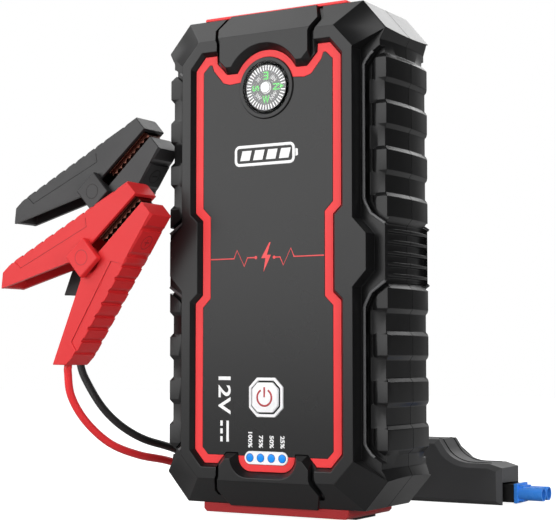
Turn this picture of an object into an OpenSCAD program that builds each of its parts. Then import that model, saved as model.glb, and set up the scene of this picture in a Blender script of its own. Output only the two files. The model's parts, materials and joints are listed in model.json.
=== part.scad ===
// Jump starter pack for a car: a ribbed battery case with a compass, a power button and a charge
// gauge, and a set of jump leads with two spring clamps, a control box and a two-pole plug.
// X is the width, Y the depth with the face towards -Y, Z points up. The pack stands on Z = 0.

/* [Case] */
// Height of the black case, without its end plates
frame_h = 190; // [180:1:220]
// Width of the case at the front edges of its flanks
frame_w = 97.4; // [95:0.2:110]
// Depth of the case from face to back
frame_d = 51.2; // [50:0.2:60]
// Wall of the case
wall = 2.4; // [1.8:0.1:3]
// How far the flanks bulge at mid depth
crown = 1.3; // [0.8:0.1:2.5]
// Width cut off each corner
corner_w = 9.6; // [7:0.1:12]
// Height cut off each corner
corner_h = 11.3; // [9:0.1:14]
// Half width of the raised face
face_hw = 38; // [36:0.1:39]
// How far the flank ledges lie behind the face
ledge_set = 8.2; // [7.5:0.1:9]
// Height of the sloped band along each end of the face
bevel_h = 9.8; // [8:0.1:12]
// Depth of that band
bevel_d = 7.4; // [6:0.1:9]
// How far the middle of each end stands proud of the face
block_rise = 1.1; // [0.6:0.1:1.6]
// Width of the groove on each side of that middle
end_groove_w = 1.8; // [1.2:0.1:2.2]
// Depth of that groove
end_groove_d = 1.5; // [1:0.1:1.6]
// Half width of the shoulders at mid height
shoulder_hw = 43.6; // [41:0.1:44.5]

/* [Grips] */
// Ribs on each grip
ribs = 4; // [3:1:5]
// Height of a rib's crest
rib_h = 7.5; // [6:0.1:9]
// How far a rib stands out of its groove
rib_rise = 1.2; // [0.8:0.1:1.6]
// Slope at a rib's edges
rib_bevel = 1.6; // [1:0.1:2]
// Half height of the waist between the grips
waist_hh = 11.2; // [10:0.1:13]
// How far the waist lies inside the flank
waist_set = 2.3; // [1.8:0.1:3]
// Spacing of the thin ribs on the waist
thin_pitch = 4.15; // [3.8:0.05:4.6]
// Width of the groove round a grip's pad
groove_w = 2.3; // [1.6:0.1:3]
// Depth of that groove
groove_d = 3; // [2:0.1:3.4]

/* [Window] */
// Half width of the window in the face
win_hw = 33.9; // [32:0.1:34.5]
// Margin from the end of the case to the window
win_margin = 14.2; // [13:0.1:16]
// Corner cut of the window, across
win_cut_w = 5.3; // [4:0.1:7]
// Corner cut of the window, up
win_cut_h = 6.1; // [4:0.1:8]
// How far the panel lies behind the face
panel_set = 1.8; // [1.4:0.1:2.2]
// Thickness of the panel and its trim
panel_t = 2; // [1.6:0.1:2.4]
// Slope of the window's walls
draft = 1.3; // [0.8:0.1:1.6]
// Gap round the trim
trim_gap = 0.2; // [0.1:0.05:0.3]
// Width of the red trim
trim_w = 3.5; // [3:0.1:4.5]

/* [Compass] */
// Distance of the compass from the top of the case
compass_drop = 30.3; // [28:0.1:33]
// Radius of the compass capsule
capsule_r = 10.2; // [9:0.1:11]
// How far the capsule's rim stands out of the panel
capsule_rise = 2.4; // [1.5:0.1:3.5]
// Radius of the turning card
card_r = 8.8; // [8:0.1:9.2]
// Radius of the bay in the face round the compass
bay_r = 16.2; // [15:0.1:17]

/* [Button and gauge] */
// Height of the power button above the bottom of the case
button_up = 41.2; // [38:0.1:60]
// Width of the button over its flats
button_w = 11.3; // [10:0.1:14]
// Band of the ring round the button
ring_band = 1.2; // [1:0.1:2]
// Gap between the button and its ring
button_gap = 0.65; // [0.3:0.05:0.7]
// Travel of the button
button_travel = 0.8; // [0.5:0.1:1]
// Height of the charge gauge above the bottom of the case
gauge_up = 18.35; // [17.5:0.05:19]
// Length of the gauge
gauge_w = 19; // [18:0.1:22]
// Height of the gauge
gauge_h = 5; // [4.5:0.1:5.6]
// Spacing of its lamps
lamp_pitch = 4.75; // [4.4:0.05:5.2]
// Radius of a lamp
lamp_r = 1.55; // [1.2:0.05:1.7]

/* [Ends] */
// How far each red end plate stands out of the case
plate_rise = 3.6; // [3:0.1:4.5]
// How far the plate at the top end stands out of the case
top_rise = 1.2; // [0.9:0.1:1.6]
// Half width of the end plates
plate_hw = 32; // [31:0.1:34]
// Half depth of the end plates
plate_hd = 18; // [17:0.1:18.2]
// Height of the rubber feet
foot_h = 1; // [0.8:0.1:1.6]
// Length of the port cover along the end
cover_w = 38; // [36:0.1:42]
// Depth of the port cover
cover_d = 21; // [20:0.1:22]
// Thickness of the port cover
cover_t = 1.6; // [1.2:0.1:2]
// Radius of the torch's lens
torch_r = 7.5; // [6.5:0.1:8.5]

/* [Battery] */
// Thickness of one pouch cell
cell_t = 7.4; // [6.5:0.1:8]
// Width of a cell
cell_w = 62; // [50:0.5:66]
// Height of a cell
cell_h = 118; // [100:1:124]
// Thickness of the circuit boards
board_t = 1.6; // [1:0.1:2]

/* [Leads] */
// Diameter of the leads
lead_d = 3.2; // [3:0.1:3.6]
// Length of the control box
box_l = 78; // [74:1:90]
// Depth of the control box
box_d = 23.3; // [22:0.1:28]
// Height of the tall end of the control box
box_h = 26.3; // [24:0.1:30]
// Height of its low end
box_low = 16; // [15:0.1:18]
// Outer diameter of one tube of the plug
tube_d = 5.6; // [5:0.1:6]
// Spacing of the plug's two tubes
tube_pitch = 6; // [6:0.1:6.4]
// Length of the plug's tubes
tube_l = 12; // [10:0.1:14]

/* [Clamps] */
// Thickness of a clamp
clamp_t = 14; // [12.5:0.1:15]
// Wall of a clamp's levers
lever_wall = 1.6; // [1.2:0.1:1.8]
// Jaw length from the pivot to the nose
jaw_l = 34; // [30:0.1:38]
// Handle length from the pivot to its end
handle_l = 40; // [38:0.1:46]
// Radius of the pivot pin
pin_r = 1.5; // [1.2:0.1:1.8]
// Width of the square caps over the pivot
cap_w = 11.5; // [10.5:0.1:12.5]
// How far a cap stands out of the levers
cap_t = 3; // [2:0.1:3.1]
// Ribs on each lever
lever_ribs = 8; // [6:1:10]

/* [Hidden] */
$fn = 64;
eps = 0.01;
far = 300;
// clearance round moving pieces
run_gap = 0.3;
// running clearance of a pin in its hole
pin_gap = 0.05;

// levels and planes of the case
case_z0 = foot_h + plate_rise;
case_z1 = case_z0 + frame_h;
mid_z = (case_z0 + case_z1) / 2;
case_hw = frame_w / 2;
face_y = -frame_d / 2;
ledge_y = face_y + ledge_set;
rim_y = ledge_y - 1.5;
panel_y = face_y + panel_set;
floor_y = panel_y + panel_t;
inner_y = floor_y + wall - 0.4;
guard_h = 18.5;
crown_r = (ledge_y * ledge_y + crown * crown) / (2 * crown);
crown_x = case_hw + crown - crown_r;

// colours
black = "#3a3b3d";
dark = "#1d1e20";
red = "#e8363c";
copper = "#b5643a";
steel = "#b9bcc0";
white = "#f2f2f2";
blue = "#1f6fe0";

// ---------------------------------------------------------------- shared shapes

// points of the right half, from top to bottom, and their mirror image
function both_sides(p) = concat(p, [for (i = [len(p) - 1:-1:0]) [-p[i].x, p[i].y]]);

// points of an arc about c from angle a0 to a1
function arc(c, r, a0, a1, n = 12) = [for (i = [0:n]) let (a = a0 + (a1 - a0) * i / n)
    c + r * [cos(a), sin(a)]];

// a closed outline moved inwards by d with sharp mitres, or outwards where d is negative
function inset(p, d) = let (n = len(p),
    turn = sign([for (i = [0:n - 1]) 1] * [for (i = [0:n - 1]) cross(p[i], p[(i + 1) % n])]))
    [for (i = [0:n - 1]) let (u = p[i] - p[(i + n - 1) % n], v = p[(i + 1) % n] - p[i],
        m = turn * [-u.y, u.x] / norm(u), k = turn * [-v.y, v.x] / norm(v))
        p[i] + (m + k) * d / (1 + m * k)];

// an octagon with the corners of a square of width w cut at 45 degrees
function octagon(w, cut) = let (h = w / 2)
    [[h, h - cut], [h - cut, h], [cut - h, h], [-h, h - cut], [-h, cut - h], [cut - h, -h],
     [h - cut, -h], [h, cut - h]];

// an outline in X and Z drawn through the depth from y0 to y1
module through_y(p, y0, y1) {
    translate([0, y1, 0]) rotate([90, 0, 0]) linear_extrude(y1 - y0) polygon(p);
}

// an outline in Y and Z drawn across from x0 to x1
module through_x(p, x0, x1) {
    translate([x0, 0, 0]) rotate([90, 0, 90]) linear_extrude(x1 - x0) polygon(p);
}

// an outline in X and Y drawn up from z0 to z1
module through_z(p, z0, z1) {
    translate([0, 0, z0]) linear_extrude(z1 - z0) polygon(p);
}

// a solid between outline p at depth y0 and outline q, of as many points, at depth y1
module loft_y(p, y0, q, y1) {
    n = len(p);
    polyhedron(concat([for (v = p) [v.x, y0, v.y]], [for (v = q) [v.x, y1, v.y]]),
        concat([[for (i = [0:n - 1]) i]], [[for (i = [n - 1:-1:0]) n + i]],
            [for (i = [0:n - 1]) let (j = (i + 1) % n) [i, n + i, n + j, j]]));
}

// takes off what lies beyond the plane through a, b and c
module shave(a, b, c) {
    n = cross(b - a, c - a);
    translate(a) rotate([0, acos(n.z / norm(n)), atan2(n.y, n.x)])
        translate([-far, -far, 0]) cube([2 * far, 2 * far, far]);
}

module rod_y(r, y0, y1, n = 48) {
    translate([0, y1, 0]) rotate([90, 0, 0]) cylinder(r = r, h = y1 - y0, $fn = n);
}

module rod_x(r, x0, x1, n = 48) {
    translate([x0, 0, 0]) rotate([0, 90, 0]) cylinder(r = r, h = x1 - x0, $fn = n);
}

module block(x0, x1, y0, y1, z0, z1) {
    translate([x0, y0, z0]) cube([x1 - x0, y1 - y0, z1 - z0]);
}

module both_x() {
    children();
    mirror([1, 0, 0]) children();
}

// the child and its image about mid height
module both_ends() {
    children();
    translate([0, 0, 2 * mid_z]) mirror([0, 0, 1]) children();
}

module to_back() {
    mirror([0, 1, 0]) children();
}

// ---------------------------------------------------------------- case

over = 3;
corner_drop = corner_h * (1 + over / corner_w);
case_outline = both_sides([[case_hw - corner_w, case_z1], [case_hw + over, case_z1 - corner_drop],
    [case_hw + over, case_z0 + corner_drop], [case_hw - corner_w, case_z0]]);

// heights of the rib crests above mid height, evenly spread along a grip
grip_lo = waist_hh + 5.8;
grip_hi = frame_h / 2 - 26;
rib_mid = [for (i = [0:ribs - 1]) grip_lo + (grip_hi - grip_lo) * i / (ribs - 1)];
rib_gap = (grip_hi - grip_lo) / (ribs - 1) - rib_h;
land_set = 2.1;

// inset of the flank at each height above mid height
flank_steps = concat(
    [for (i = [0:2], s = [-0.9, -0.6, 0.6, 0.9]) if (i > 0 || s > 0)
        [i * thin_pitch + s, abs(s) > 0.7 ? waist_set : 0.6]],
    [[waist_hh - 0.6, waist_set]],
    [for (i = [0:ribs - 1], e = [-1, 1]) each e < 0
        ? concat(i > 0 ? [[rib_mid[i] - rib_h / 2 - rib_bevel, rib_rise]] : [],
            [[rib_mid[i] - rib_h / 2, 0]])
        : concat([[rib_mid[i] + rib_h / 2, 0]],
            i < ribs - 1 ? [[rib_mid[i] + rib_h / 2 + rib_bevel, rib_rise]] : [])],
    [[rib_mid[ribs - 1] + rib_h / 2 + 2, land_set], [frame_h / 2 - guard_h + 2.9, land_set],
     [frame_h / 2 - corner_h, 0], [frame_h / 2 + 5, 0]]);

flank_profile = concat([for (p = flank_steps) [crown_r - p.y, mid_z + p.x]],
    [[crown_r - 14, mid_z + frame_h / 2 + 5], [crown_r - 14, mid_z - frame_h / 2 - 5]],
    [for (i = [len(flank_steps) - 1:-1:0]) [crown_r - flank_steps[i].y, mid_z - flank_steps[i].x]]);

// one crowned flank with its ribs, and everything inside it
module flank() {
    reach = asin(-(ledge_y - 3) / crown_r);
    translate([crown_x, 0, 0]) rotate([0, 0, -reach])
        rotate_extrude(angle = 2 * reach, $fn = 360) polygon(flank_profile);
}

// the plain strip in front of the waist's thin ribs, between the grips
strip_hh = 11.8;
module waist_strip() {
    front = asin((ledge_y - 3) / crown_r);
    back = asin(ledge_y / crown_r);
    translate([crown_x, 0, 0]) rotate([0, 0, front]) rotate_extrude(angle = back - front, $fn = 360)
        polygon([[crown_r - 6, mid_z - strip_hh], [crown_r - 0.35, mid_z - strip_hh],
            [crown_r - 0.35, mid_z + strip_hh], [crown_r - 6, mid_z + strip_hh]]);
}

module flanks() {
    both_x() {
        flank();
        waist_strip();
    }
}

// side view of the raised face: straight sides with a shoulder at mid height
guard_z = corner_h - (guard_h - corner_h) * over / (case_hw - face_hw);
face_outline = both_sides([[case_hw + over, case_z1 + 1], [case_hw + over, case_z1 - guard_z],
    [face_hw, case_z1 - guard_h], [face_hw, mid_z + 12.8], [shoulder_hw, mid_z + 6.8],
    [shoulder_hw, mid_z - 6.8], [face_hw, mid_z - 12.8], [face_hw, case_z0 + guard_h],
    [case_hw + over, case_z0 + guard_z], [case_hw + over, case_z0 - 1]]);

// outline of a grip's pad, above mid height
pad_x = face_hw + 3.6;
pad_outline = [[pad_x, mid_z + rib_mid[0] + 3.6], [pad_x + 2, mid_z + rib_mid[0] - 0.6],
    [case_hw + 3, mid_z + waist_hh - 0.4], [case_hw + 3, case_z1 - 18.6],
    [case_hw - 2, case_z1 - 20.3], [pad_x + 2, case_z1 - 22.4], [pad_x, case_z1 - 25]];

// a grip's pocket in the flank's front
module grip_pocket() {
    through_y(inset(pad_outline, -groove_w), rim_y - 5, rim_y + groove_d);
}

// rows of the pad: rounded crests in line with the ribs, square-edged fillets between them
module pad_rows() {
    crest_y = ledge_y - 0.8;
    groove_y = ledge_y + 0.2;
    base_y = rim_y + groove_d + eps;
    through_z([[pad_x, base_y], [pad_x, groove_y + 1.1], [pad_x + 0.6, groove_y + 0.4],
        [pad_x + 1.8, groove_y], [case_hw + 3, groove_y], [case_hw + 3, base_y]], mid_z, case_z1);
    for (z = rib_mid) intersection() {
        through_z([[pad_x, base_y], [pad_x, crest_y + 2.2], [pad_x + 0.5, crest_y + 1],
            [pad_x + 1.5, crest_y + 0.3], [pad_x + 2.8, crest_y], [case_hw + 3, crest_y],
            [case_hw + 3, base_y]], mid_z, case_z1);
        through_x([[groove_y, mid_z + z - rib_h / 2 - rib_bevel], [crest_y, mid_z + z - rib_h / 2],
            [crest_y, mid_z + z + rib_h / 2], [groove_y, mid_z + z + rib_h / 2 + rib_bevel],
            [base_y, mid_z + z + rib_h / 2 + rib_bevel],
            [base_y, mid_z + z - rib_h / 2 - rib_bevel]], pad_x - 1, case_hw + 3);
    }
    for (i = [0:ribs - 2]) let (z = mid_z + (rib_mid[i] + rib_mid[i + 1]) / 2, h = rib_gap / 2 - 0.5)
        through_z([[pad_x, base_y], [pad_x, crest_y - 0.1], [pad_x + 2.8, groove_y],
            [pad_x + 3.2, groove_y], [pad_x + 3.2, base_y]], z - h, z + h);
}

module grip_pad() {
    intersection() {
        through_y(pad_outline, face_y, rim_y + groove_d);
        pad_rows();
    }
}

// the middle of an end of the face, proud of the rest
block_outline = both_sides([[18.6, case_z1 + 2], [22.3, case_z1 - 5.2], [19.8, case_z1 - 10.8],
    [19.8, case_z1 - 24]]);

// slopes of the face's end: rise lifts the slope off the face
module end_slopes(rise) {
    front = face_y - rise;
    edge = [0, face_y + bevel_d, case_z1 + rise];
    shave([0, front, case_z1 - bevel_h + rise * 0.4], [10, front, case_z1 - bevel_h + rise * 0.4], edge);
}

module corner_slope() {
    shave([face_hw, face_y, case_z1 - guard_h], [case_hw - corner_w, face_y + bevel_d, case_z1],
        [face_hw - 8, face_y, case_z1 - bevel_h]);
}

// the front half of the case as a full body
module half_body() {
    difference() {
        union() {
            intersection() {
                through_y(case_outline, face_y, 0);
                union() {
                    block(-face_hw - 4, face_hw + 4, face_y, 0, case_z0, case_z1);
                    flanks();
                    both_x() block(face_hw, case_hw, face_y, rim_y, case_z0, case_z1);
                }
                union() {
                    through_y(face_outline, face_y, 0);
                    through_y(case_outline, rim_y, 0);
                }
            }
        }
        both_x() both_ends() grip_pocket();
        end_groove(-over);
        translate([0, 0, 2 * mid_z]) mirror([0, 0, 1]) end_groove(3.4);
        both_ends() end_slopes(0);
        both_x() both_ends() corner_slope();
    }
    intersection() {
        both_x() both_ends() grip_pad();
        flanks();
    }
    both_ends() difference() {
        through_y(block_outline, face_y - block_rise, 0);
        end_slopes(block_rise);
        block(-far, far, -far, far, case_z1 + lip, far);
        block(-far, far, -plate_hd - 0.1, far, case_z1, far);
    }
}

// how far that middle stands up in front of an end plate
lip = 0.6;

// the groove along that middle's sides; stop is where it ends below the case's end
module end_groove(stop) {
    difference() {
        through_y(inset(block_outline, -end_groove_w), face_y - 3, 0);
        through_y(block_outline, face_y - 4, 1);
        difference() {
            block(-40, 40, face_y + end_groove_d, 2, mid_z, case_z1 + 5);
            end_slopes(-end_groove_d);
        }
        block(-far, far, -far, far, case_z1 - stop, far);
    }
}

// cavity for the battery and the boards, front half
module half_cavity() {
    hw = case_hw - waist_set - wall;
    through_y(both_sides([[hw - corner_w, case_z1 - wall - 1], [hw, case_z1 - corner_h - wall],
        [hw, case_z0 + corner_h + wall], [hw - corner_w, case_z0 + wall + 1]]),
        rim_y + groove_d + wall, eps);
    block(-face_hw + wall, face_hw - wall, inner_y, eps, case_z0 + 12.5, case_z1 - 12.5);
}

// ---------------------------------------------------------------- face and panel

// the window in the face: cut corners, notched sides, a round bay at the top and a flat one below
seat_r = capsule_r + 1.7;
win_top = case_z1 - win_margin;
win_low = case_z0 + win_margin;
compass_z = case_z1 - compass_drop;
bay_a = asin(8.2 / bay_r);
gauge_z = case_z0 + gauge_up;
window = both_sides(concat(
    [for (p = arc([0, compass_z], bay_r, 90, bay_a, 10)) if (p.x > 0.01) p],
    [[17.3, compass_z + 8.2], [21, win_top - 4], [21.2, win_top], [win_hw - win_cut_w, win_top],
     [win_hw, win_top - win_cut_h], [win_hw, mid_z + 17.1], [win_hw - 3.4, mid_z + 13.9],
     [win_hw - 3.4, mid_z - 13.9], [win_hw, mid_z - 17.1], [win_hw, win_low + win_cut_h],
     [win_hw - win_cut_w, win_low], [21.2, win_low], [17.3, win_low + 4.4], [14, win_low + 4.4]],
    arc([7, win_low + 4.4], 7, -12, -78, 5), [[7, win_low - 2.6]]));

rear_window = both_sides([[win_hw - win_cut_w, win_top - 2], [win_hw, win_top - 2 - win_cut_h],
    [win_hw, mid_z + 17.1], [win_hw - 3.4, mid_z + 13.9], [win_hw - 3.4, mid_z - 13.9],
    [win_hw, mid_z - 17.1], [win_hw, win_low + 2 + win_cut_h], [win_hw - win_cut_w, win_low + 2]]);

// the sloped opening down to the panel and the pocket that the panel lies in
module window_cut(p) {
    lead_in = block_rise + 0.4;
    loft_y(inset(p, -draft * lead_in / panel_set), face_y - lead_in, inset(p, draft), panel_y);
    through_y(inset(p, draft), panel_y - eps, floor_y);
}

// inner edge of the trim, which is the outline of the black panel
trim_x = win_hw - draft - trim_gap;
panel_outline = both_sides([[12, compass_z + 3], [16.7, compass_z + 2.6], [19.7, compass_z + 3.5],
    [24.1, compass_z + 8.7], [25, compass_z + 11.2], [26, compass_z + 11.2],
    [trim_x - trim_w, compass_z + 8.4], [trim_x - trim_w, mid_z + 19.4],
    [trim_x - 2 * trim_w, mid_z + 15.9], [trim_x - 2 * trim_w, mid_z - 15.9],
    [trim_x - trim_w, mid_z - 19.4], [trim_x - trim_w, case_z0 + 21.7],
    [trim_x - trim_w - 2.5, case_z0 + 19], [12, case_z0 + 19]]);

button_z = case_z0 + button_up;
ring_w = button_w + 2 * (button_gap + ring_band);

// screws that close the case, from the back
screw_x = 30;
screw_pos = [for (x = [-screw_x, screw_x], z = [case_z0 + 16, case_z1 - 25]) [x, z]];
screw_r = 1.3;

module at_screws() {
    for (p = screw_pos) translate([p.x, 0, p.y]) children();
}

// holes behind the panel for the compass, the button and the gauge
module face_holes(y0, y1) {
    translate([0, 0, compass_z]) rod_y(seat_r, y0, y1);
    translate([0, 0, button_z]) rod_y(button_w / 2 - 1, y0, y1);
    block(-gauge_w / 2 + 1, gauge_w / 2 - 1, y0, y1, gauge_z - 1.8, gauge_z + 1.8);
}

// openings in the ends of the case for the red plates
plug_hw = plate_hw - 3;
plug_hd = plate_hd - 4;
module plate_mouths() {
    both_ends() block(-plug_hw, plug_hw, -plug_hd, plug_hd, case_z1 - wall - 6, case_z1 + 2);
}

module front_shell() {
    color(black) difference() {
        union() {
            difference() {
                half_body();
                half_cavity();
            }
            at_screws() rod_y(3.6, inner_y - eps, 0);
            at_board_posts() {
                rod_y(2.4, inner_y - eps, board_y, 32);
                rod_y(0.95, board_y - eps, board_y + board_t + 0.6, 24);
            }
        }
        window_cut(window);
        face_holes(floor_y - eps, inner_y + 3);
        plate_mouths();
        at_screws() rod_y(screw_r, floor_y + 3, eps);
    }
}

module rear_shell() {
    color(black) difference() {
        union() {
            difference() {
                to_back() half_body();
                to_back() half_cavity();
                flank_corners();
            }
            at_screws() rod_y(3.6, 0, -inner_y + eps);
        }
        to_back() window_cut(rear_window);
        plate_mouths();
        at_screws() {
            rod_y(screw_r + 0.3, -eps, frame_d);
            rod_y(2.8, -inner_y - 1, frame_d);
        }
    }
}

// rounds the rear edges of the flanks
flank_round = 4.5;
module flank_corners() {
    x = crown_x + sqrt(pow(crown_r, 2) - pow(ledge_y + flank_round, 2)) - flank_round;
    y = -ledge_y - flank_round + 1.5;
    both_x() difference() {
        block(x, x + 20, y, y + 6.5, case_z0 + corner_h, case_z1 - corner_h);
        translate([x, y, 0]) cylinder(r = flank_round, h = far);
    }
}

module front_panel() {
    color(dark) difference() {
        intersection() {
            through_y(panel_outline, panel_y, floor_y);
            through_y(inset(window, draft + trim_gap), panel_y - 1, floor_y + 1);
        }
        face_holes(panel_y - 1, floor_y + 1);
        translate([0, 0, compass_z]) rod_y(seat_r + 0.1, panel_y - 1, floor_y + 1);
        translate([0, 0, gauge_z]) gauge_slot(0.1, panel_y - 1, floor_y + 1);
        translate([0, panel_y + 1, button_z]) rotate([90, 0, 0])
            linear_extrude(3) polygon(octagon(ring_w + 0.1, ring_cut(ring_w + 0.1)));
    }
}

module front_trim() {
    color(red) difference() {
        through_y(inset(window, draft + trim_gap), panel_y, floor_y);
        through_y(inset(panel_outline, -0.05), panel_y - 1, floor_y + 1);
        translate([0, 0, compass_z]) rod_y(seat_r + 0.1, panel_y - 1, floor_y + 1);
        translate([0, 0, gauge_z]) gauge_slot(0.1, panel_y - 1, floor_y + 1);
    }
}

module rear_panel() {
    color(dark) to_back() through_y(inset(rear_window, draft + trim_gap), panel_y, floor_y);
}

// ---------------------------------------------------------------- compass

compass_y = panel_y - capsule_rise;

module compass_seat() {
    color(dark) translate([0, 0, compass_z]) difference() {
        rod_y(seat_r, panel_y - 0.6, floor_y + 4);
        rod_y(card_r + run_gap, compass_y, floor_y + 2.6);
        rod_y(capsule_r, compass_y - 1, panel_y + 0.5);
    }
}

module compass_pivot() {
    color("#c8a24a") translate([0, 0, compass_z]) rod_y(0.5, panel_y + 0.5, floor_y + 2.6, 24);
}

module compass_card() {
    color(dark) translate([0, 0, compass_z]) difference() {
        union() {
            rod_y(card_r, panel_y - 0.3, panel_y + 0.5, 96);
            rod_y(2.2, panel_y - 1, panel_y + 1.4);
        }
        rod_y(0.5 + pin_gap, panel_y + 0.4, panel_y + 2, 24);
    }
}

module compass_magnet() {
    color(steel) translate([0, 0, compass_z]) difference() {
        block(-5, 5, panel_y + 0.5, panel_y + 1.9, -1.6, 1.6);
        rod_y(2.2, panel_y, panel_y + 3);
    }
}

// thin clear shell over the card: a short wall and a shallow crown
dome_t = 0.6;
module compass_dome() {
    crown_h = 1.4;
    r = (capsule_r * capsule_r + crown_h * crown_h) / (2 * crown_h);
    color("#dfe8ee", 0.35) translate([0, 0, compass_z]) {
        difference() {
            union() {
                rod_y(capsule_r - 0.02, compass_y + crown_h, panel_y + 0.5);
                intersection() {
                    translate([0, compass_y + r, 0]) sphere(r, $fn = 128);
                    rod_y(capsule_r - 0.02, compass_y - 1, compass_y + crown_h + eps);
                }
            }
            rod_y(capsule_r - dome_t - 0.4, compass_y + crown_h, panel_y + 1);
            intersection() {
                translate([0, compass_y + dome_t + r, 0]) sphere(r, $fn = 128);
                rod_y(capsule_r - dome_t - 0.4, compass_y - 1, compass_y + crown_h + 2 * eps);
            }
        }
    }
}

// ---------------------------------------------------------------- button and gauge

// corner cut of an octagon of width w whose sides run parallel to the ring's
function ring_cut(w) = ring_w * 0.235 - (ring_w - w) * (1 - sqrt(0.5));

module octagon_y(w, y0, y1) {
    translate([0, y1, button_z]) rotate([90, 0, 0]) linear_extrude(y1 - y0)
        polygon(octagon(w, ring_cut(w)));
}

module button_ring() {
    color(white) difference() {
        octagon_y(ring_w, panel_y - 0.6, panel_y + 1);
        octagon_y(button_w + 2 * button_gap, panel_y - 2, panel_y + 2);
    }
}

module power_button() {
    color(white) {
        octagon_y(button_w, panel_y - 1.3, panel_y + 0.15);
        translate([0, 0, button_z]) rod_y(2.5, panel_y + 0.15 - eps, switch_y - 0.02);
    }
}

// the tact switch under the button, on the main board
board_y = inner_y + 4;
switch_y = board_y - 2.2;
module button_switch() {
    color(dark) difference() {
        union() {
            block(-3, 3, board_y - 1.2, board_y, button_z - 3, button_z + 3);
            translate([0, 0, button_z]) rod_y(1.7, switch_y + button_travel, board_y);
        }
    }
}

module gauge_slot(gap, y0, y1) {
    r = gauge_h / 2 + gap;
    block(-gauge_w / 2 + gauge_h / 2, gauge_w / 2 - gauge_h / 2, y0, y1, -r, r);
    for (x = [-1, 1]) translate([x * (gauge_w - gauge_h) / 2, 0, 0]) rod_y(r, y0, y1);
}

module at_lamps() {
    for (i = [-1.5:1:1.5]) translate([i * lamp_pitch, 0, gauge_z]) children();
}

module gauge_window() {
    color(white) difference() {
        translate([0, 0, gauge_z]) gauge_slot(0, panel_y - 0.3, floor_y);
        at_lamps() rod_y(lamp_r, panel_y - 1, floor_y + 1);
    }
}

module gauge_lamps() {
    color(blue) at_lamps() {
        rod_y(lamp_r, panel_y - 0.1, panel_y + 1);
        rod_y(1.1, panel_y + 1 - eps, board_y);
    }
}

// ---------------------------------------------------------------- inside the case

board_h = 70;
board_hw = 26;
board_z0 = case_z0 + 14;

module at_board_posts() {
    for (x = [-1, 1], z = [4, board_h - 4]) translate([x * (board_hw - 4), 0, board_z0 + z]) children();
}

module main_board() {
    color("#1f5f3a") difference() {
        block(-board_hw, board_hw, board_y, board_y + board_t, board_z0, board_z0 + board_h);
        at_board_posts() rod_y(1, board_y - 1, board_y + 3, 24);
    }
}

tray_y = -inner_y;
cell_y0 = tray_y - wall - 3 * cell_t;
cell_z0 = case_z0 + 24;
module battery_cells() {
    color("#9aa3ad") for (i = [0:2])
        block(-cell_w / 2, cell_w / 2, cell_y0 + i * cell_t, cell_y0 + (i + 1) * cell_t - 0.3,
            cell_z0, cell_z0 + cell_h);
}

tab_x = [-18, 12];
module battery_tray() {
    lip = 2;
    color(dark) difference() {
        block(-cell_w / 2 - lip, cell_w / 2 + lip, cell_y0 + 2, tray_y, cell_z0 - lip,
            cell_z0 + cell_h + lip);
        block(-cell_w / 2, cell_w / 2, cell_y0 - 1, tray_y - wall, cell_z0, cell_z0 + cell_h);
        for (x = tab_x)
            block(x - 0.5, x + 6.5, cell_y0, cell_y0 + 5, cell_z0 + cell_h - 1, case_z1);
        at_screws() rod_y(4, 0, frame_d);
    }
}

module cell_tabs() {
    color(copper) for (x = tab_x)
        block(x, x + 6, cell_y0 + 3, cell_y0 + 4, cell_z0 + cell_h, cell_z0 + cell_h + 9);
}

module case_screws() {
    color(steel) at_screws() {
        rod_y(screw_r - 0.02, floor_y + 4, -inner_y - 1, 24);
        difference() {
            rod_y(2.5, -inner_y - 1, -inner_y + 0.4, 32);
            rod_y(0.9, -inner_y - 0.5, -inner_y + 1, 6);
        }
    }
}

// ---------------------------------------------------------------- ends

plate_top = case_z1 + top_rise;

// one red end plate, as at the top: a slab that stands out by rise, and the plug that fits the case's mouth
module end_plate(rise) {
    hw = plate_hw;
    c = rise / 3;
    top = case_z1 + rise;
    through_y([[hw, case_z1], [hw, top - c], [hw - c, top], [c - hw, top], [-hw, top - c], [-hw, case_z1]],
        -plate_hd, plate_hd);
    block(-plug_hw + 0.1, plug_hw - 0.1, -plug_hd + 0.1, plug_hd - 0.1, top - 9.6, case_z1 + eps);
}

// places on the top end
socket_x = 0;
usb_x = 13.5;
usb_c_x = 23.5;
torch_x = -plate_hw + torch_r + 5;
cover_x0 = -9.5;
cover_x1 = cover_x0 + cover_w;
cover_z = plate_top - cover_t;
hinge_r = 1.2;
hinge_y = cover_d / 2 + hinge_r;

// the plug's face: two tubes side by side, seen from the end
module plug_slot(grow, z0, z1) {
    for (y = [-0.5, 0.5]) translate([0, y * tube_pitch, z0])
        cylinder(r = tube_d / 2 + grow, h = z1 - z0, $fn = 48);
    block(-tube_d / 2 - grow, tube_d / 2 + grow, -tube_pitch / 2, tube_pitch / 2, z0, z1);
}

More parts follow.
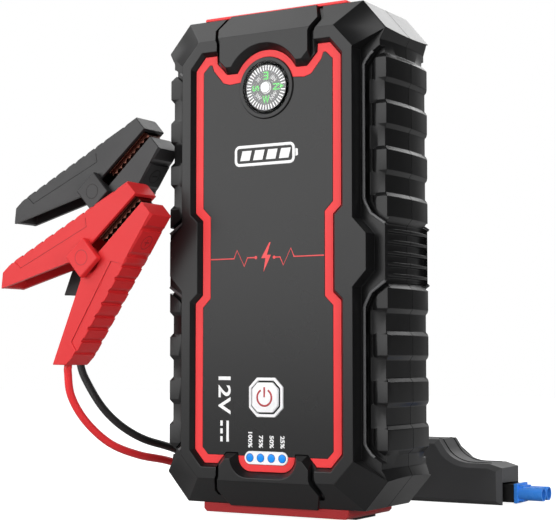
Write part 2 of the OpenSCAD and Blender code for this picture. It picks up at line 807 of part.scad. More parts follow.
socket_z = cover_z - 0.4;
socket_depth = 13;
module top_plate() {
    color(red) difference() {
        end_plate(top_rise);
        block(cover_x0 - run_gap, cover_x1 + run_gap, -cover_d / 2 - run_gap, cover_d / 2 + run_gap,
            cover_z, plate_top + 1);
        translate([0, hinge_y, cover_z]) {
            rod_x(hinge_r + run_gap, cover_x0 - run_gap, cover_x1 + run_gap);
            block(cover_x0 - run_gap, cover_x1 + run_gap, -hinge_r - run_gap - 1,
                hinge_r + cover_t + run_gap, 0, 10);
        }
        // finger notch in front of the cover
        block(usb_x - 9, usb_x - 1, -cover_d / 2 - 2.4, -cover_d / 2, cover_z, plate_top + 1);
        block(socket_x - 6, socket_x + 6, -8, 8, case_z1 - 20, plate_top);
        block(usb_x - 3.5, usb_x + 3.5, -7.5, 7.5, case_z1 - 20, plate_top);
        block(usb_c_x - 2, usb_c_x + 2, -5, 5, case_z1 - 20, plate_top);
        translate([torch_x, 0, 0]) {
            cylinder(r = torch_r - 1, h = far);
            translate([0, 0, plate_top - 1.6]) cylinder(r = torch_r, h = 5);
        }
    }
}

module bottom_plate() {
    color(red) translate([0, 0, 2 * mid_z]) mirror([0, 0, 1]) end_plate(plate_rise);
}

module feet() {
    color(dark) both_x() translate([plate_hw - 5, 0, 0]) {
        block(-3, 3, -8, 8, 0, foot_h);
    }
}

// the output socket takes the lead set's plug
module lead_socket() {
    color(blue) translate([socket_x, 0, 0]) difference() {
        block(-6, 6, -8, 8, socket_z - socket_depth - 1.5, socket_z);
        plug_slot(0.3, socket_z - socket_depth, socket_z + 1);
    }
    color("#c8a24a") for (y = [-0.5, 0.5])
        translate([socket_x, y * tube_pitch, socket_z - socket_depth - 1.5])
            cylinder(r = 1.6, h = socket_depth - 3.5, $fn = 32);
}

module usb_a_port() {
    color(steel) difference() {
        block(usb_x - 3.5, usb_x + 3.5, -7.5, 7.5, socket_z - 12, socket_z);
        block(usb_x - 3, usb_x + 3, -7, 7, socket_z - 11.4, socket_z + 1);
    }
    color(white) block(usb_x - 2.6, usb_x - 1.5, -5.6, 5.6, socket_z - 11.4 - eps, socket_z - 1.5);
}

module usb_c_port() {
    color(steel) difference() {
        block(usb_c_x - 2, usb_c_x + 2, -5, 5, socket_z - 8, socket_z);
        block(usb_c_x - 1.5, usb_c_x + 1.5, -4.4, 4.4, socket_z - 7.4, socket_z + 1);
    }
    color(dark) block(usb_c_x - 0.4, usb_c_x + 0.4, -3.4, 3.4, socket_z - 7.4 - eps, socket_z - 0.8);
}

module port_cover() {
    color(dark) {
        block(cover_x0, cover_x1, -cover_d / 2, cover_d / 2 + eps, cover_z, plate_top);
        translate([0, hinge_y, cover_z]) intersection() {
            rod_x(hinge_r, cover_x0, cover_x1);
            block(-far, far, -far, far, -far, cover_t);
        }
        block(cover_x0, cover_x1, cover_d / 2, hinge_y - 0.75, cover_z, plate_top);
    }
}

module torch_lens() {
    color("#e9f2f7", 0.4) translate([torch_x, 0, plate_top - 1.6]) cylinder(r = torch_r - 0.05, h = 1.6);
}

module torch_reflector() {
    h = 8;
    color(steel) translate([torch_x, 0, plate_top - 1.6 - h]) difference() {
        cylinder(r = torch_r - 1.05, h = h);
        translate([0, 0, 1]) cylinder(r1 = 1.6, r2 = torch_r - 1.6, h = h - 1 + eps);
        translate([0, 0, -1]) cylinder(r = 1.6, h = 3);
    }
}

module torch_lamp() {
    color("#f4e7a0") translate([torch_x, 0, plate_top - 9.6]) {
        translate([0, 0, -1]) cylinder(r = torch_r - 1.05, h = 1);
        translate([0, 0, -eps]) cylinder(r = 1.5, h = 1.6, $fn = 32);
    }
}

// ---------------------------------------------------------------- control box and plug

box_x1 = 56.2;
box_x0 = box_x1 - box_l;
box_y0 = 68.7;
box_y1 = box_y0 + box_d;
box_my = (box_y0 + box_y1) / 2;
box_cut = 1.7;
box_wall = 2;
plug_z = 4.7;

// side view: a tall end, a finger scoop and a low end that slopes to the plug
box_outline = concat([[box_x0, 0], [box_x0, box_h - 4], [box_x0 + 4, box_h], [box_x1 - 28.4, box_h]],
    [for (i = [0:6]) let (a = 24 + i * 11) [box_x1 - 14 - 13.2 * cos(a), box_low + 10.8 - 10 * sin(a)]],
    [[box_x1 - 13, box_low + 0.8], [box_x1 - 5.5, box_low + 0.8], [box_x1, box_low - 0.8],
     [box_x1, 0]]);

module box_form() {
    cut = 2.6;
    loft_y(inset(box_outline, box_cut), box_y0, box_outline, box_y0 + cut);
    through_y(box_outline, box_y0 + cut - eps, box_y1 - cut + eps);
    loft_y(box_outline, box_y1 - cut, inset(box_outline, box_cut), box_y1);
}

// the recess in the low end that the plug sits in
module plug_recess(x0) {
    block(x0, box_x1 + 5, box_y0 + 3, box_y1 - 3, -1, plug_z + 4.3);
}

base_t = 2;
module box_shell() {
    color(black) difference() {
        intersection() {
            box_form();
            block(-far, far, 0, far, 0, far);
        }
        difference() {
            through_y(inset(box_outline, box_wall), box_y0 + 2.6, box_y1 - 2.6);
            block(box_x1 - 8, far, 0, far, 0, plug_z + 5);
        }
        block(box_x0 + box_wall, box_x1 - 8, box_y0 + 2.6, box_y1 - 2.6, -1, base_t + eps);
        plug_recess(box_x1 - 5);
        translate([0, box_my, plug_z]) rod_x(plug_neck_r + 0.02, box_x1 - 12, box_x1);
        for (y = lead_y) translate([0, y, lead_z]) rod_x(lead_d / 2 + 1.2, box_x0 - 1, box_x0 + 4);
    }
}

module box_base() {
    color(black) difference() {
        block(box_x0 + box_wall + 0.1, box_x1 - 8.1, box_y0 + 2.7, box_y1 - 2.7, 0, base_t);
        at_box_screws() cylinder(r = 1.2, h = 8, center = true, $fn = 24);
    }
}

module at_box_screws() {
    for (x = [box_x0 + 10, box_x1 - 16]) translate([x, box_my, 0]) children();
}

module box_screws() {
    color(steel) at_box_screws() {
        translate([0, 0, 0.3]) cylinder(r = 1.2, h = base_t + 2, $fn = 24);
    }
}

module box_board() {
    color("#1f5f3a") block(box_x0 + 7, box_x1 - 13, box_y0 + 2.6, box_y1 - 2.6, base_t + 2.3,
        base_t + 2.3 + board_t);
}

plug_neck_r = 2.6;
collar_x0 = box_x1 - 5;
collar_x1 = box_x1 + 3.8;
flange_hd = 6;
flange_z0 = 0.7;
flange_z1 = 8.8;
module plug_collar() {
    color(dark) difference() {
        union() {
            block(collar_x0, collar_x1, box_my - 5.6, box_my + 5.6, 1, 8.4);
            translate([0, box_my, plug_z]) rod_x(plug_neck_r, box_x1 - 12, collar_x0 + eps);
        }
        for (y = [-0.5, 0.5]) translate([0, box_my + y * tube_pitch, plug_z])
            rod_x(1.7, collar_x1 - 4, collar_x1 + 1, 32);
    }
}

module plug_body() {
    color(blue) difference() {
        union() {
            block(collar_x1, collar_x1 + 1.5, box_my - flange_hd, box_my + flange_hd, flange_z0, flange_z1);
            block(collar_x1 + 1.5 - eps, collar_x1 + 3.6, box_my - 4.6, box_my + 4.6, plug_z - 3.2, plug_z + 3.2);
            for (y = [-0.5, 0.5]) translate([0, box_my + y * tube_pitch, plug_z])
                rod_x(tube_d / 2, collar_x1 + 1, collar_x1 + tube_l);
        }
        for (y = [-0.5, 0.5]) translate([0, box_my + y * tube_pitch, plug_z]) {
            rod_x(2.2, collar_x1 + 2, collar_x1 + tube_l + 1);
            rod_x(1.7, collar_x1 - 1, collar_x1 + 3, 32);
        }
    }
}

module plug_contacts() {
    color("#c8a24a") for (y = [-0.5, 0.5]) translate([0, box_my + y * tube_pitch, plug_z]) difference() {
        union() {
            rod_x(1.65, collar_x1 - 3.5, collar_x1 + 3, 32);
            rod_x(2.1, collar_x1 + 2.2, collar_x1 + tube_l - 3);
        }
        rod_x(1.65, collar_x1 + 4, collar_x1 + tube_l, 32);
    }
}

// ---------------------------------------------------------------- leads

// places of the clamps' pivots and the slope of their jaw lines
clamp_tilt = 41.5;
red_pivot = [-70.6, -37.5, 100];
black_pivot = [-80.1, -19, 128.5];

lead_y = [box_my - 4.6, box_my + 4.6];
lead_z = 9;
gland_l = 3.6;

heel_t = 25.1;

// where a point of a clamp's cable lever comes to lie
function in_clamp(p, x, z) = p + [x * cos(clamp_tilt) + z * sin(clamp_tilt), 0,
    x * sin(clamp_tilt) - z * cos(clamp_tilt)];
lead_end = [-handle_l + 1.6, heel_t - 2.9];
// the end face's own slope, which the lead leaves at a right angle
lead_out = [-4.4, 4.8] / norm([4.4, 4.8]) * 3;
function lead_at(p, k) = in_clamp(p, lead_end.x + k * lead_out.x, lead_end.y + k * lead_out.y);
// the lead's stretch inside the handle and out of its end
function lead_start(p) = [in_clamp(p, -handle_l + 14.8, heel_t - 12.6), lead_at(p, -3.5), lead_at(p, 0),
    lead_at(p, 1)];

// centre lines, from the clamp's handle to the box
red_route = concat(lead_start(red_pivot), [[-84.2, -36, 45.6],
    [-80.8, -31, 35.5], [-75.4, -22, 26.3], [-69.8, -10, 21.1], [-63.8, 1.5, 18.4],
    [-60.5, 14, 14.5], [-59.5, 28, 9.5], [-58.5, 42, 5], [-54.5, 55, 2.6], [-48, 65, 2.4],
    [-40.5, 71.5, 4.2], [-34, 74.9, 7.4], [box_x0 - gland_l - 3, lead_y[0], lead_z],
    [box_x0 - gland_l, lead_y[0], lead_z]]);
black_route = concat(lead_start(black_pivot), [[-94, -19, 70],
    [-93, -19, 57.7], [-89.6, -18, 49.6], [-83.5, -16, 40.1], [-77.8, -11, 32.7],
    [-71.5, -4, 27.2], [-67.1, 8, 23.5], [-64.8, 20, 19.5], [-63.6, 34, 14.8], [-62, 48, 10.2],
    [-58.5, 61, 6.8], [-52.5, 71.5, 5], [-45, 79, 5], [-36, 83.8, 7.2],
    [box_x0 - gland_l - 3, lead_y[1], lead_z], [box_x0 - gland_l, lead_y[1], lead_z]]);

// a round tube swept along points by frames that turn as little as they can
function unit(v) = v / norm(v);
function tangent(p, i) = unit(i <= 1 ? p[1] - p[0] : i >= len(p) - 2 ? p[len(p) - 1] - p[len(p) - 2]
    : p[i + 1] - p[i - 1]);
function frames(p, i = 0, last = undef) = i == len(p) ? [] : let (t = tangent(p, i),
    s = unit(is_undef(last) ? cross(t, [0, 1, 0.3]) : last - t * (last * t)))
    concat([[s, cross(t, s)]], frames(p, i + 1, s));
function smooth(p, n) = [for (i = [0:len(p) - 2], k = [0:n - 1]) let (t = k / n,
    a = p[max(i - 1, 0)], b = p[i], c = p[i + 1], d = p[min(i + 2, len(p) - 1)])
    0.5 * (2 * b + (c - a) * t + (2 * a - 5 * b + 4 * c - d) * t * t + (3 * b - a - 3 * c + d) * t * t * t)];

module tube(route, r, sides = 8, steps = 2) {
    p = concat([route[0]], smooth([for (i = [1:len(route) - 2]) route[i]], steps),
        [route[len(route) - 2], route[len(route) - 1]]);
    f = frames(p);
    n = len(p);
    polyhedron([for (i = [0:n - 1], k = [0:sides - 1]) p[i] + r * (cos(360 * k / sides) * f[i][0]
            + sin(360 * k / sides) * f[i][1])],
        concat([[for (k = [sides - 1:-1:0]) k]], [[for (k = [0:sides - 1]) (n - 1) * sides + k]],
            [for (i = [0:n - 2], k = [0:sides - 1]) let (a = i * sides + k, b = i * sides + (k + 1) % sides)
                each [[a, b, b + sides], [a, b + sides, a + sides]]]));
}

module red_lead() {
    color(red) tube(red_route, lead_d / 2);
}

module black_lead() {
    color(dark) tube(black_route, lead_d / 2);
}

module box_glands() {
    color(dark) for (y = lead_y) translate([0, y, lead_z])
        rod_x(lead_d / 2 + 1.15, box_x0 - gland_l, box_x0 + 3.9, 32);
}

// ---------------------------------------------------------------- clamps
// Each clamp is drawn with its pivot at the origin, its jaws along +X and its depth along Y,
// and is then turned and moved to its place. The free lever is above the jaw line.

module place(p) {
    translate(p) rotate([0, -clamp_tilt, 0]) children();
}

ht = clamp_t / 2;
jaw_gap = 2.3;
nose_t = 9.2;
rib_slope = (heel_t - 0.3 - nose_t - 1.2) / (handle_l - 12.5 + jaw_l - 5.8);
lever_outline = [[jaw_l, jaw_gap], [jaw_l, nose_t], [jaw_l - 5.8, nose_t + 1.2],
    [-handle_l + 12.5, heel_t - 0.3], [-handle_l + 6.4, heel_t], [-handle_l + 4.8, heel_t],
    [-handle_l, heel_t - 4.4], [-7, 4.5], [0, 2.9], [6, 2.6]];

// the outline of the hollow between a lever's side walls
lever_hollow = [[jaw_l - lever_wall, jaw_gap - 5], [jaw_l - lever_wall, nose_t - lever_wall],
    [jaw_l - 5.8, nose_t + 1.2 - lever_wall], [-handle_l + 12.5, heel_t - 0.7 - lever_wall],
    [-handle_l - 3, heel_t - lever_wall + 1], [-handle_l - 3, heel_t - 14], [-7, -3]];

// places of the steps across the back: one behind the nose, one below the polarity mark, then the ribs
rib_pitch = (jaw_l - 22.8 + handle_l - 11.8) / (lever_ribs - 1);
rib_x = concat([jaw_l - 6.4, jaw_l - 18], [for (i = [0:lever_ribs - 1]) -handle_l + 11.8 + i * rib_pitch]);

// a lever above the jaw line; its ears at the pivot span ear_y0 to ear_y1
module lever(ear_y0, ear_y1, clear_r, hole_r) {
    difference() {
        union() {
            difference() {
                through_y(lever_outline, -ht, ht);
                through_y(lever_hollow, -ht + lever_wall, ht - lever_wall);
                for (x = rib_x) rib_cut(x);
                both_y() {
                    back_cut();
                    through_y([[8.2, 9.2], [11.8, 14.6], [11.8, 40], [-29.8, 40], [-27.1, 20]], ht - 0.35, far);
                }
                if (clear_r > 0) rod_y(clear_r, -far, far);
            }
            both_y() rod_y(ear_r, ear_y0, ear_y1);
            both_y() difference() {
                through_y([[-4.2, 0.8], [-9, 6], [-13, 12], [-2, 13], [6.6, 9], [4.4, 0.8]], ear_y0, ht - 0.2);
                if (clear_r > 0) rod_y(clear_r, ear_y1, far);
            }
        }
        rod_y(hole_r, -far, far);
    }
}

module both_y() {
    children();
    mirror([0, 1, 0]) children();
}

// a shallow step across the lever's back edge
module rib_cut(x) {
    z = nose_t + 1.2 + (jaw_l - 5.8 - x) * rib_slope;
    translate([x, 0, z]) rotate([0, atan(rib_slope), 0]) through_y([[-0.9, -0.75], [0, -0.75], [1.6, 0.1],
        [1.6, 3], [-0.9, 3]], -far, far);
}

// the long edge of a lever's back, cut at 45 degrees
back_edge = 0.8;
module back_cut() {
    translate([jaw_l - 5.8, ht, nose_t + 1.2]) rotate([0, atan(rib_slope), 0]) rotate([-45, 0, 0])
        translate([-far, -5, -back_edge / sqrt(2)]) cube([2 * far, 10, 10]);
}

module flip() {
    mirror([0, 0, 1]) children();
}

ear_r = 4.6;
module cable_lever() {
    flip() lever(ht - 2 * lever_wall - run_gap, ht - lever_wall - run_gap, ear_r + 1.8, pin_r);
    // block in the handle's end, which holds the lead
    flip() difference() {
        through_y([[-handle_l + 4.8, heel_t - 0.1], [-handle_l + 11, heel_t - 2],
            [-handle_l + 7.5, heel_t - 8.1], [-handle_l + 0.1, heel_t - 4.4]],
            -ht + lever_wall - eps, ht - lever_wall + eps);
        translate([lead_end.x, 0, lead_end.y]) rotate([0, atan2(lead_out.x, lead_out.y), 0])
            cylinder(r = lead_d / 2 + 0.1, h = 30, center = true, $fn = 32);
    }
}

module free_lever() {
    lever(ht - lever_wall, ht, 0, pin_r + pin_gap);
    // wall that closes the handle's end
    through_y([[-handle_l + 0.1, heel_t - 4.4], [-handle_l + 4.8, heel_t - 0.1], [-handle_l + 6.2, heel_t - 1.2],
        [-handle_l + 1.6, heel_t - 5.1]], -ht + lever_wall - eps, ht - lever_wall + eps);
}

// a copper jaw: a strip held between the walls, with narrower teeth towards the jaw line
teeth = 8;
tooth_in = 1.6;
module jaw() {
    x0 = 9;
    x1 = jaw_l - lever_wall;
    p = (x1 - x0) / teeth;
    through_y([[x1, jaw_gap - 0.4], [x1, jaw_gap + 1.2], [x0, jaw_gap + 1.4], [x0, jaw_gap - 0.4]],
        -ht + lever_wall, ht - lever_wall);
    through_y(concat([[x1, 0.15], [x1, jaw_gap], [x0, jaw_gap], [x0, 0.9]],
        [for (i = [0:teeth - 1], k = [0, 1]) [x0 + p * (i + k * 0.55 + 0.2), k > 0 ? 0.2 : 1.3]]),
        -ht + lever_wall + tooth_in, ht - lever_wall - tooth_in);
}

pin_over = 1.2;
module pivot_pin() {
    rod_y(pin_r, -ht - pin_over, ht + pin_over);
}

module clamp_caps() {
    both_y() difference() {
        block(-cap_w / 2, cap_w / 2, ht + 0.1, ht + 0.1 + cap_t, -cap_w / 2, cap_w / 2);
        rod_y(pin_r + 0.02, 0, ht + pin_over);
    }
}

// two coils on the pin and a leg to each handle
module clamp_spring() {
    for (y = [-2.4, 0.8]) difference() {
        rod_y(3, y, y + 1.6);
        rod_y(pin_r + 0.3, y - 1, y + 3);
    }
    for (s = [0, 1]) mirror([0, 0, s]) translate([0, s * 0.8 - 1.2 - 0.8 * (1 - s), 0])
        through_y([[-1, 1.9], [-17, 15], [-17.6, 14.2], [-1.8, 1.6]], 0, 1.2);
}

module red_cable_lever() {
    color(red) place(red_pivot) cable_lever();
}
module red_free_lever() {
    color(red) place(red_pivot) free_lever();
}
module red_cable_jaw() {
    color(copper) place(red_pivot) flip() jaw();
}
module red_free_jaw() {
    color(copper) place(red_pivot) jaw();
}
module red_pivot_pin() {
    color(steel) place(red_pivot) pivot_pin();
}
module red_clamp_caps() {
    color(red) place(red_pivot) clamp_caps();
}
module red_clamp_spring() {
    color(steel) place(red_pivot) clamp_spring();
}
module black_cable_lever() {
    color(black) place(black_pivot) cable_lever();
}
module black_free_lever() {
    color(black) place(black_pivot) free_lever();
}
module black_cable_jaw() {
    color(copper) place(black_pivot) flip() jaw();
}
module black_free_jaw() {
    color(copper) place(black_pivot) jaw();
}
module black_pivot_pin() {
    color(steel) place(black_pivot) pivot_pin();
}
module black_clamp_caps() {
    color(black) place(black_pivot) clamp_caps();
}
module black_clamp_spring() {
    color(steel) place(black_pivot) clamp_spring();
}

front_shell();
rear_shell();
front_panel();
front_trim();
rear_panel();
top_plate();
bottom_plate();
feet();
lead_socket();
usb_a_port();
usb_c_port();
torch_lens();
torch_reflector();
torch_lamp();
compass_seat();
compass_pivot();
compass_card();
compass_magnet();
compass_dome();
button_ring();
power_button();
button_switch();
gauge_window();
gauge_lamps();
main_board();
battery_cells();
battery_tray();
cell_tabs();
case_screws();
port_cover();
box_shell();
box_base();
box_board();
box_screws();
box_glands();
plug_collar();
plug_body();
plug_contacts();
red_lead();
black_lead();
red_cable_lever();
red_free_lever();
red_cable_jaw();
red_free_jaw();
red_pivot_pin();
red_clamp_caps();
red_clamp_spring();
black_cable_lever();
black_free_lever();
black_cable_jaw();
black_free_jaw();
black_pivot_pin();
black_clamp_caps();
black_clamp_spring();
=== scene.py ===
import json
import math
import bmesh
import bpy
from mathutils import Matrix, Vector
from mathutils.bvhtree import BVHTree
from mathutils.kdtree import KDTree


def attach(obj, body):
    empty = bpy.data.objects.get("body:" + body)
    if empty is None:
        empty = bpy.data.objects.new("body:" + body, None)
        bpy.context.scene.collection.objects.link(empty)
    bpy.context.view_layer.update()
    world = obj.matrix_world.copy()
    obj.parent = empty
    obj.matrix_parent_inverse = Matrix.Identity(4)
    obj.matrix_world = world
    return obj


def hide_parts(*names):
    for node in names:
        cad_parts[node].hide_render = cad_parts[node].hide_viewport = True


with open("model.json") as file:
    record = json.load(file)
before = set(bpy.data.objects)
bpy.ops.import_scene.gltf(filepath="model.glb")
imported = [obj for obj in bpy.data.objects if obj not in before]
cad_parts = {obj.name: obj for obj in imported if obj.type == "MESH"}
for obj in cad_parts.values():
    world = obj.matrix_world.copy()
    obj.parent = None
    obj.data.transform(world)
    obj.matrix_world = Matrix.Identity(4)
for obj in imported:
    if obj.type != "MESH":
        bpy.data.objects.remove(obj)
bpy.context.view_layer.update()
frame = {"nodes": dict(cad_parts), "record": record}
nodes = frame["nodes"]
slotOf = {row["node"]: row["material_slot"] for row in frame["record"]["subparts"]}
bodyOf = {n: b for b, members in frame["record"]["behaviour"]["bodies"].items() for n in members}
mm = 0.001
print("frame loaded", len(nodes), "nodes")

# camera
shot = {"at": (0.2874, -0.4962, 0.0607), "yaw": 30.856, "pitch": 3.854, "lens": 94.18,
        "sensor": 36, "nearest": 0.01}
camera = bpy.data.objects.new("camera", bpy.data.cameras.new("camera"))
bpy.context.scene.collection.objects.link(camera)
camera.data.lens = shot["lens"]
camera.data.sensor_width = shot["sensor"]
camera.data.sensor_fit = "HORIZONTAL"
camera.data.clip_start = shot["nearest"]
camera.location = shot["at"]
camera.rotation_euler = (math.radians(90 + shot["pitch"]), 0, math.radians(shot["yaw"]))
bpy.context.scene.camera = camera

# materials
noiseLook = {"middle": (0.3, 0.7), "detail": 3, "grainDetail": 2,
             "cloud": (40, 0.08), "smear": (120, 0.04)}  # scale and depth, where a look gives none
mixSocket = {"share": 0, "low": 6, "high": 7, "out": 2}  # by number, as its colours share names


def surface(name, look):  # a colour with faint clouds, smears in its gloss, and a grain
    made = bpy.data.materials.new(name)
    made.use_nodes = True
    tree = made.node_tree
    tree.nodes.clear()
    out = tree.nodes.new("ShaderNodeOutputMaterial")
    shader = tree.nodes.new("ShaderNodeBsdfPrincipled")
    tree.links.new(shader.outputs["BSDF"], out.inputs["Surface"])
    where = tree.nodes.new("ShaderNodeTexCoord")

    def noise(scale, detail, stretch=None):
        texture = tree.nodes.new("ShaderNodeTexNoise")
        texture.inputs["Scale"].default_value = scale
        texture.inputs["Detail"].default_value = detail
        source = where.outputs["Object"]
        if stretch:
            mapping = tree.nodes.new("ShaderNodeMapping")
            mapping.inputs["Scale"].default_value = stretch
            tree.links.new(source, mapping.inputs["Vector"])
            source = mapping.outputs["Vector"]
        tree.links.new(source, texture.inputs["Vector"])
        return texture.outputs["Fac"]

    def spread(scale, low, high):  # the middle of a noise, spread from low to high
        mapped = tree.nodes.new("ShaderNodeMapRange")
        mapped.inputs["From Min"].default_value = noiseLook["middle"][0]
        mapped.inputs["From Max"].default_value = noiseLook["middle"][1]
        mapped.inputs["To Min"].default_value = low
        mapped.inputs["To Max"].default_value = high
        tree.links.new(noise(scale, noiseLook["detail"]), mapped.inputs["Value"])
        return mapped.outputs["Result"]

    for socket, value in look.get("set", {}).items():
        shader.inputs[socket].default_value = value
    if "shine" in look:
        shader.inputs["Specular IOR Level"].default_value = look["shine"]
    colour, rough = look["colour"], look["rough"]
    scale, depth = look.get("cloud", noiseLook["cloud"])
    mix = tree.nodes.new("ShaderNodeMix")
    mix.data_type = "RGBA"
    darker = [c * (1 - depth) for c in colour]
    paler = [min(1, c * (1 + depth)) for c in colour]
    mix.inputs[mixSocket["low"]].default_value = (*darker, 1)
    mix.inputs[mixSocket["high"]].default_value = (*paler, 1)
    tree.links.new(spread(scale, 0, 1), mix.inputs[mixSocket["share"]])
    tree.links.new(mix.outputs[mixSocket["out"]], shader.inputs["Base Color"])
    scale, depth = look.get("smear", noiseLook["smear"])
    tree.links.new(spread(scale, rough - depth, rough + depth), shader.inputs["Roughness"])
    shader.inputs["Metallic"].default_value = look.get("metal", 0)
    if "grain" in look:
        scale, strength, height = look["grain"]
        bump = tree.nodes.new("ShaderNodeBump")
        bump.inputs["Strength"].default_value = strength
        bump.inputs["Distance"].default_value = height
        grain = noise(scale, noiseLook["grainDetail"], look.get("brush"))
        tree.links.new(grain, bump.inputs["Height"])
        tree.links.new(bump.outputs["Normal"], shader.inputs["Normal"])
    return made


looks = {  # grain is its scale, strength and height in metres
    "case_black": {"colour": (0.0065, 0.0065, 0.0068), "rough": 0.3, "shine": 0.35,
                   "grain": (2600, 0.35, 0.00002), "smear": (60, 0.015), "cloud": (40, 0.03)},
    "panel_black": {"colour": (0.005, 0.005, 0.0053), "rough": 0.27, "shine": 0.35,
                    "grain": (3400, 0.2, 0.00002), "smear": (50, 0.008), "cloud": (40, 0.02)},
    "trim_red": {"colour": (0.83, 0.047, 0.051), "rough": 0.34, "shine": 0.2,
                 "grain": (3000, 0.25, 0.00002), "cloud": (60, 0.015)},
    "rubber_black": {"colour": (0.018, 0.018, 0.018), "rough": 0.5, "shine": 0.35,
                     "grain": (1800, 0.4, 0.00004), "cloud": (90, 0.15)},
    "plastic_black": {"colour": (0.012, 0.012, 0.0124), "rough": 0.34, "shine": 0.35,
                      "grain": (2200, 0.35, 0.00003)},
    "plastic_white": {"colour": (0.87, 0.87, 0.88), "rough": 0.28, "grain": (2600, 0.2, 0.00002),
                      "cloud": (80, 0.02)},
    "clear": {"colour": (0.99, 0.99, 0.99), "rough": 0.0, "smear": (90, 0.0), "cloud": (60, 0.005),
              "set": {"Transmission Weight": 1.0, "IOR": 1.1}},
    "steel": {"colour": (0.62, 0.62, 0.63), "rough": 0.3, "metal": 1, "grain": (900, 0.3, 0.00002),
              "brush": (1, 1, 14)},
    "brass": {"colour": (0.78, 0.56, 0.22), "rough": 0.3, "metal": 1,
              "grain": (1500, 0.3, 0.00002)},
    # a dark copper: painted shade, for the jaws in the dark hollow between the levers
    "copper": {"colour": (0.15, 0.062, 0.045), "rough": 0.25, "metal": 1,
               "grain": (1100, 0.35, 0.00003), "cloud": (220, 0.2)},
    "lamp_blue": {"colour": (0.006, 0.27, 0.86), "rough": 0.24, "shine": 0.25,
                  "grain": (1800, 0.15, 0.00002)},
    "board_green": {"colour": (0.02, 0.16, 0.07), "rough": 0.4, "grain": (1600, 0.4, 0.00003)},
    "cell_foil": {"colour": (0.62, 0.64, 0.67), "rough": 0.35, "metal": 1,
                  "grain": (260, 0.5, 0.0002)},
    "clamp_red": {"colour": (0.67, 0.028, 0.031), "rough": 0.36, "shine": 0.2,
                  "grain": (2200, 0.35, 0.00003), "cloud": (50, 0.02)},
    "clamp_black": {"colour": (0.024, 0.024, 0.025), "rough": 0.38, "shine": 0.35,
                    "grain": (2200, 0.35, 0.00003)},
    "lead_red": {"colour": (0.8, 0.035, 0.04), "rough": 0.36, "shine": 0.25,
                 "grain": (1500, 0.3, 0.00003), "cloud": (70, 0.03)},
    "plug_blue": {"colour": (0.055, 0.31, 1.0), "rough": 0.3, "shine": 0.25,
                  "grain": (2400, 0.25, 0.00002), "cloud": (60, 0.03)},
    # a darker copy of the trim red for the bottom plate: painted shade, for the shade under the
    # case's overhang
    "shaded_plate_red": {"colour": (0.34, 0.021, 0.023), "rough": 0.34, "shine": 0.2,
                  "grain": (3000, 0.25, 0.00002), "cloud": (60, 0.02)},
    # a lighter copy of the black plastic for the control box: painted light, for the light the pack
    # keeps off its front
    "box_black_painted_light": {"colour": (0.07, 0.07, 0.072), "rough": 0.36, "shine": 0.25,
                  "grain": (2200, 0.35, 0.00003)},
    "ink_white": {"colour": (0.86, 0.86, 0.86), "rough": 0.45, "grain": (1500, 0.2, 0.00001),
                  "cloud": (300, 0.03)},
    "ink_grey": {"colour": (0.5, 0.5, 0.5), "rough": 0.45, "grain": (1500, 0.2, 0.00001),
                 "cloud": (300, 0.05)},
    "ink_red": {"colour": (0.8, 0.05, 0.055), "rough": 0.4, "grain": (1500, 0.2, 0.00001),
                "cloud": (300, 0.04)},
    "ink_green": {"colour": (0.11, 0.56, 0.12), "rough": 0.45, "grain": (1500, 0.2, 0.00001),
                  "cloud": (300, 0.05)},
    "symbol_red": {"colour": (0.42, 0.03, 0.04), "rough": 0.4, "grain": (1500, 0.2, 0.00001),
                   "cloud": (300, 0.04)},
    "dial_grey": {"colour": (0.13, 0.13, 0.132), "rough": 0.5, "grain": (2000, 0.2, 0.00002),
                  "cloud": (200, 0.06)},
    # light grey for the back lines, and a painted highlight on the grip beads
    "grey_lines_and_painted_highlight": {"colour": (0.09, 0.09, 0.092), "rough": 0.36, "grain": (2600, 0.3, 0.00002),
                 "cloud": (90, 0.06)},
    "rim_blue": {"colour": (0.004, 0.075, 0.34), "rough": 0.4, "shine": 0.1,
                 "grain": (1800, 0.15, 0.00002)},
    # mark_red and mark_black draw the clamp marks, cap rings, lever seams and box lines darker than
    # their plastic: painted shade for thin grooves
    "mark_red": {"colour": (0.4, 0.015, 0.02), "rough": 0.5, "grain": (2200, 0.35, 0.00003)},
    "mark_black": {"colour": (0.006, 0.006, 0.006), "rough": 0.6, "grain": (2200, 0.35, 0.00003)},
}
paint = {name: surface(name, look) for name, look in looks.items()}
print("materials made", len(paint))


def piece(name, mesh, body, slotName, stands=(), material=None):
    obj = bpy.data.objects.new(name, mesh)
    bpy.context.scene.collection.objects.link(obj)
    mesh.materials.clear()
    mesh.materials.append(material or paint[slotName])
    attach(obj, body)
    if stands:
        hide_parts(*stands)
    return obj


def fromBm(name, bm):
    mesh = bpy.data.meshes.new(name)
    bm.normal_update()
    bm.to_mesh(mesh)
    bm.free()
    return mesh


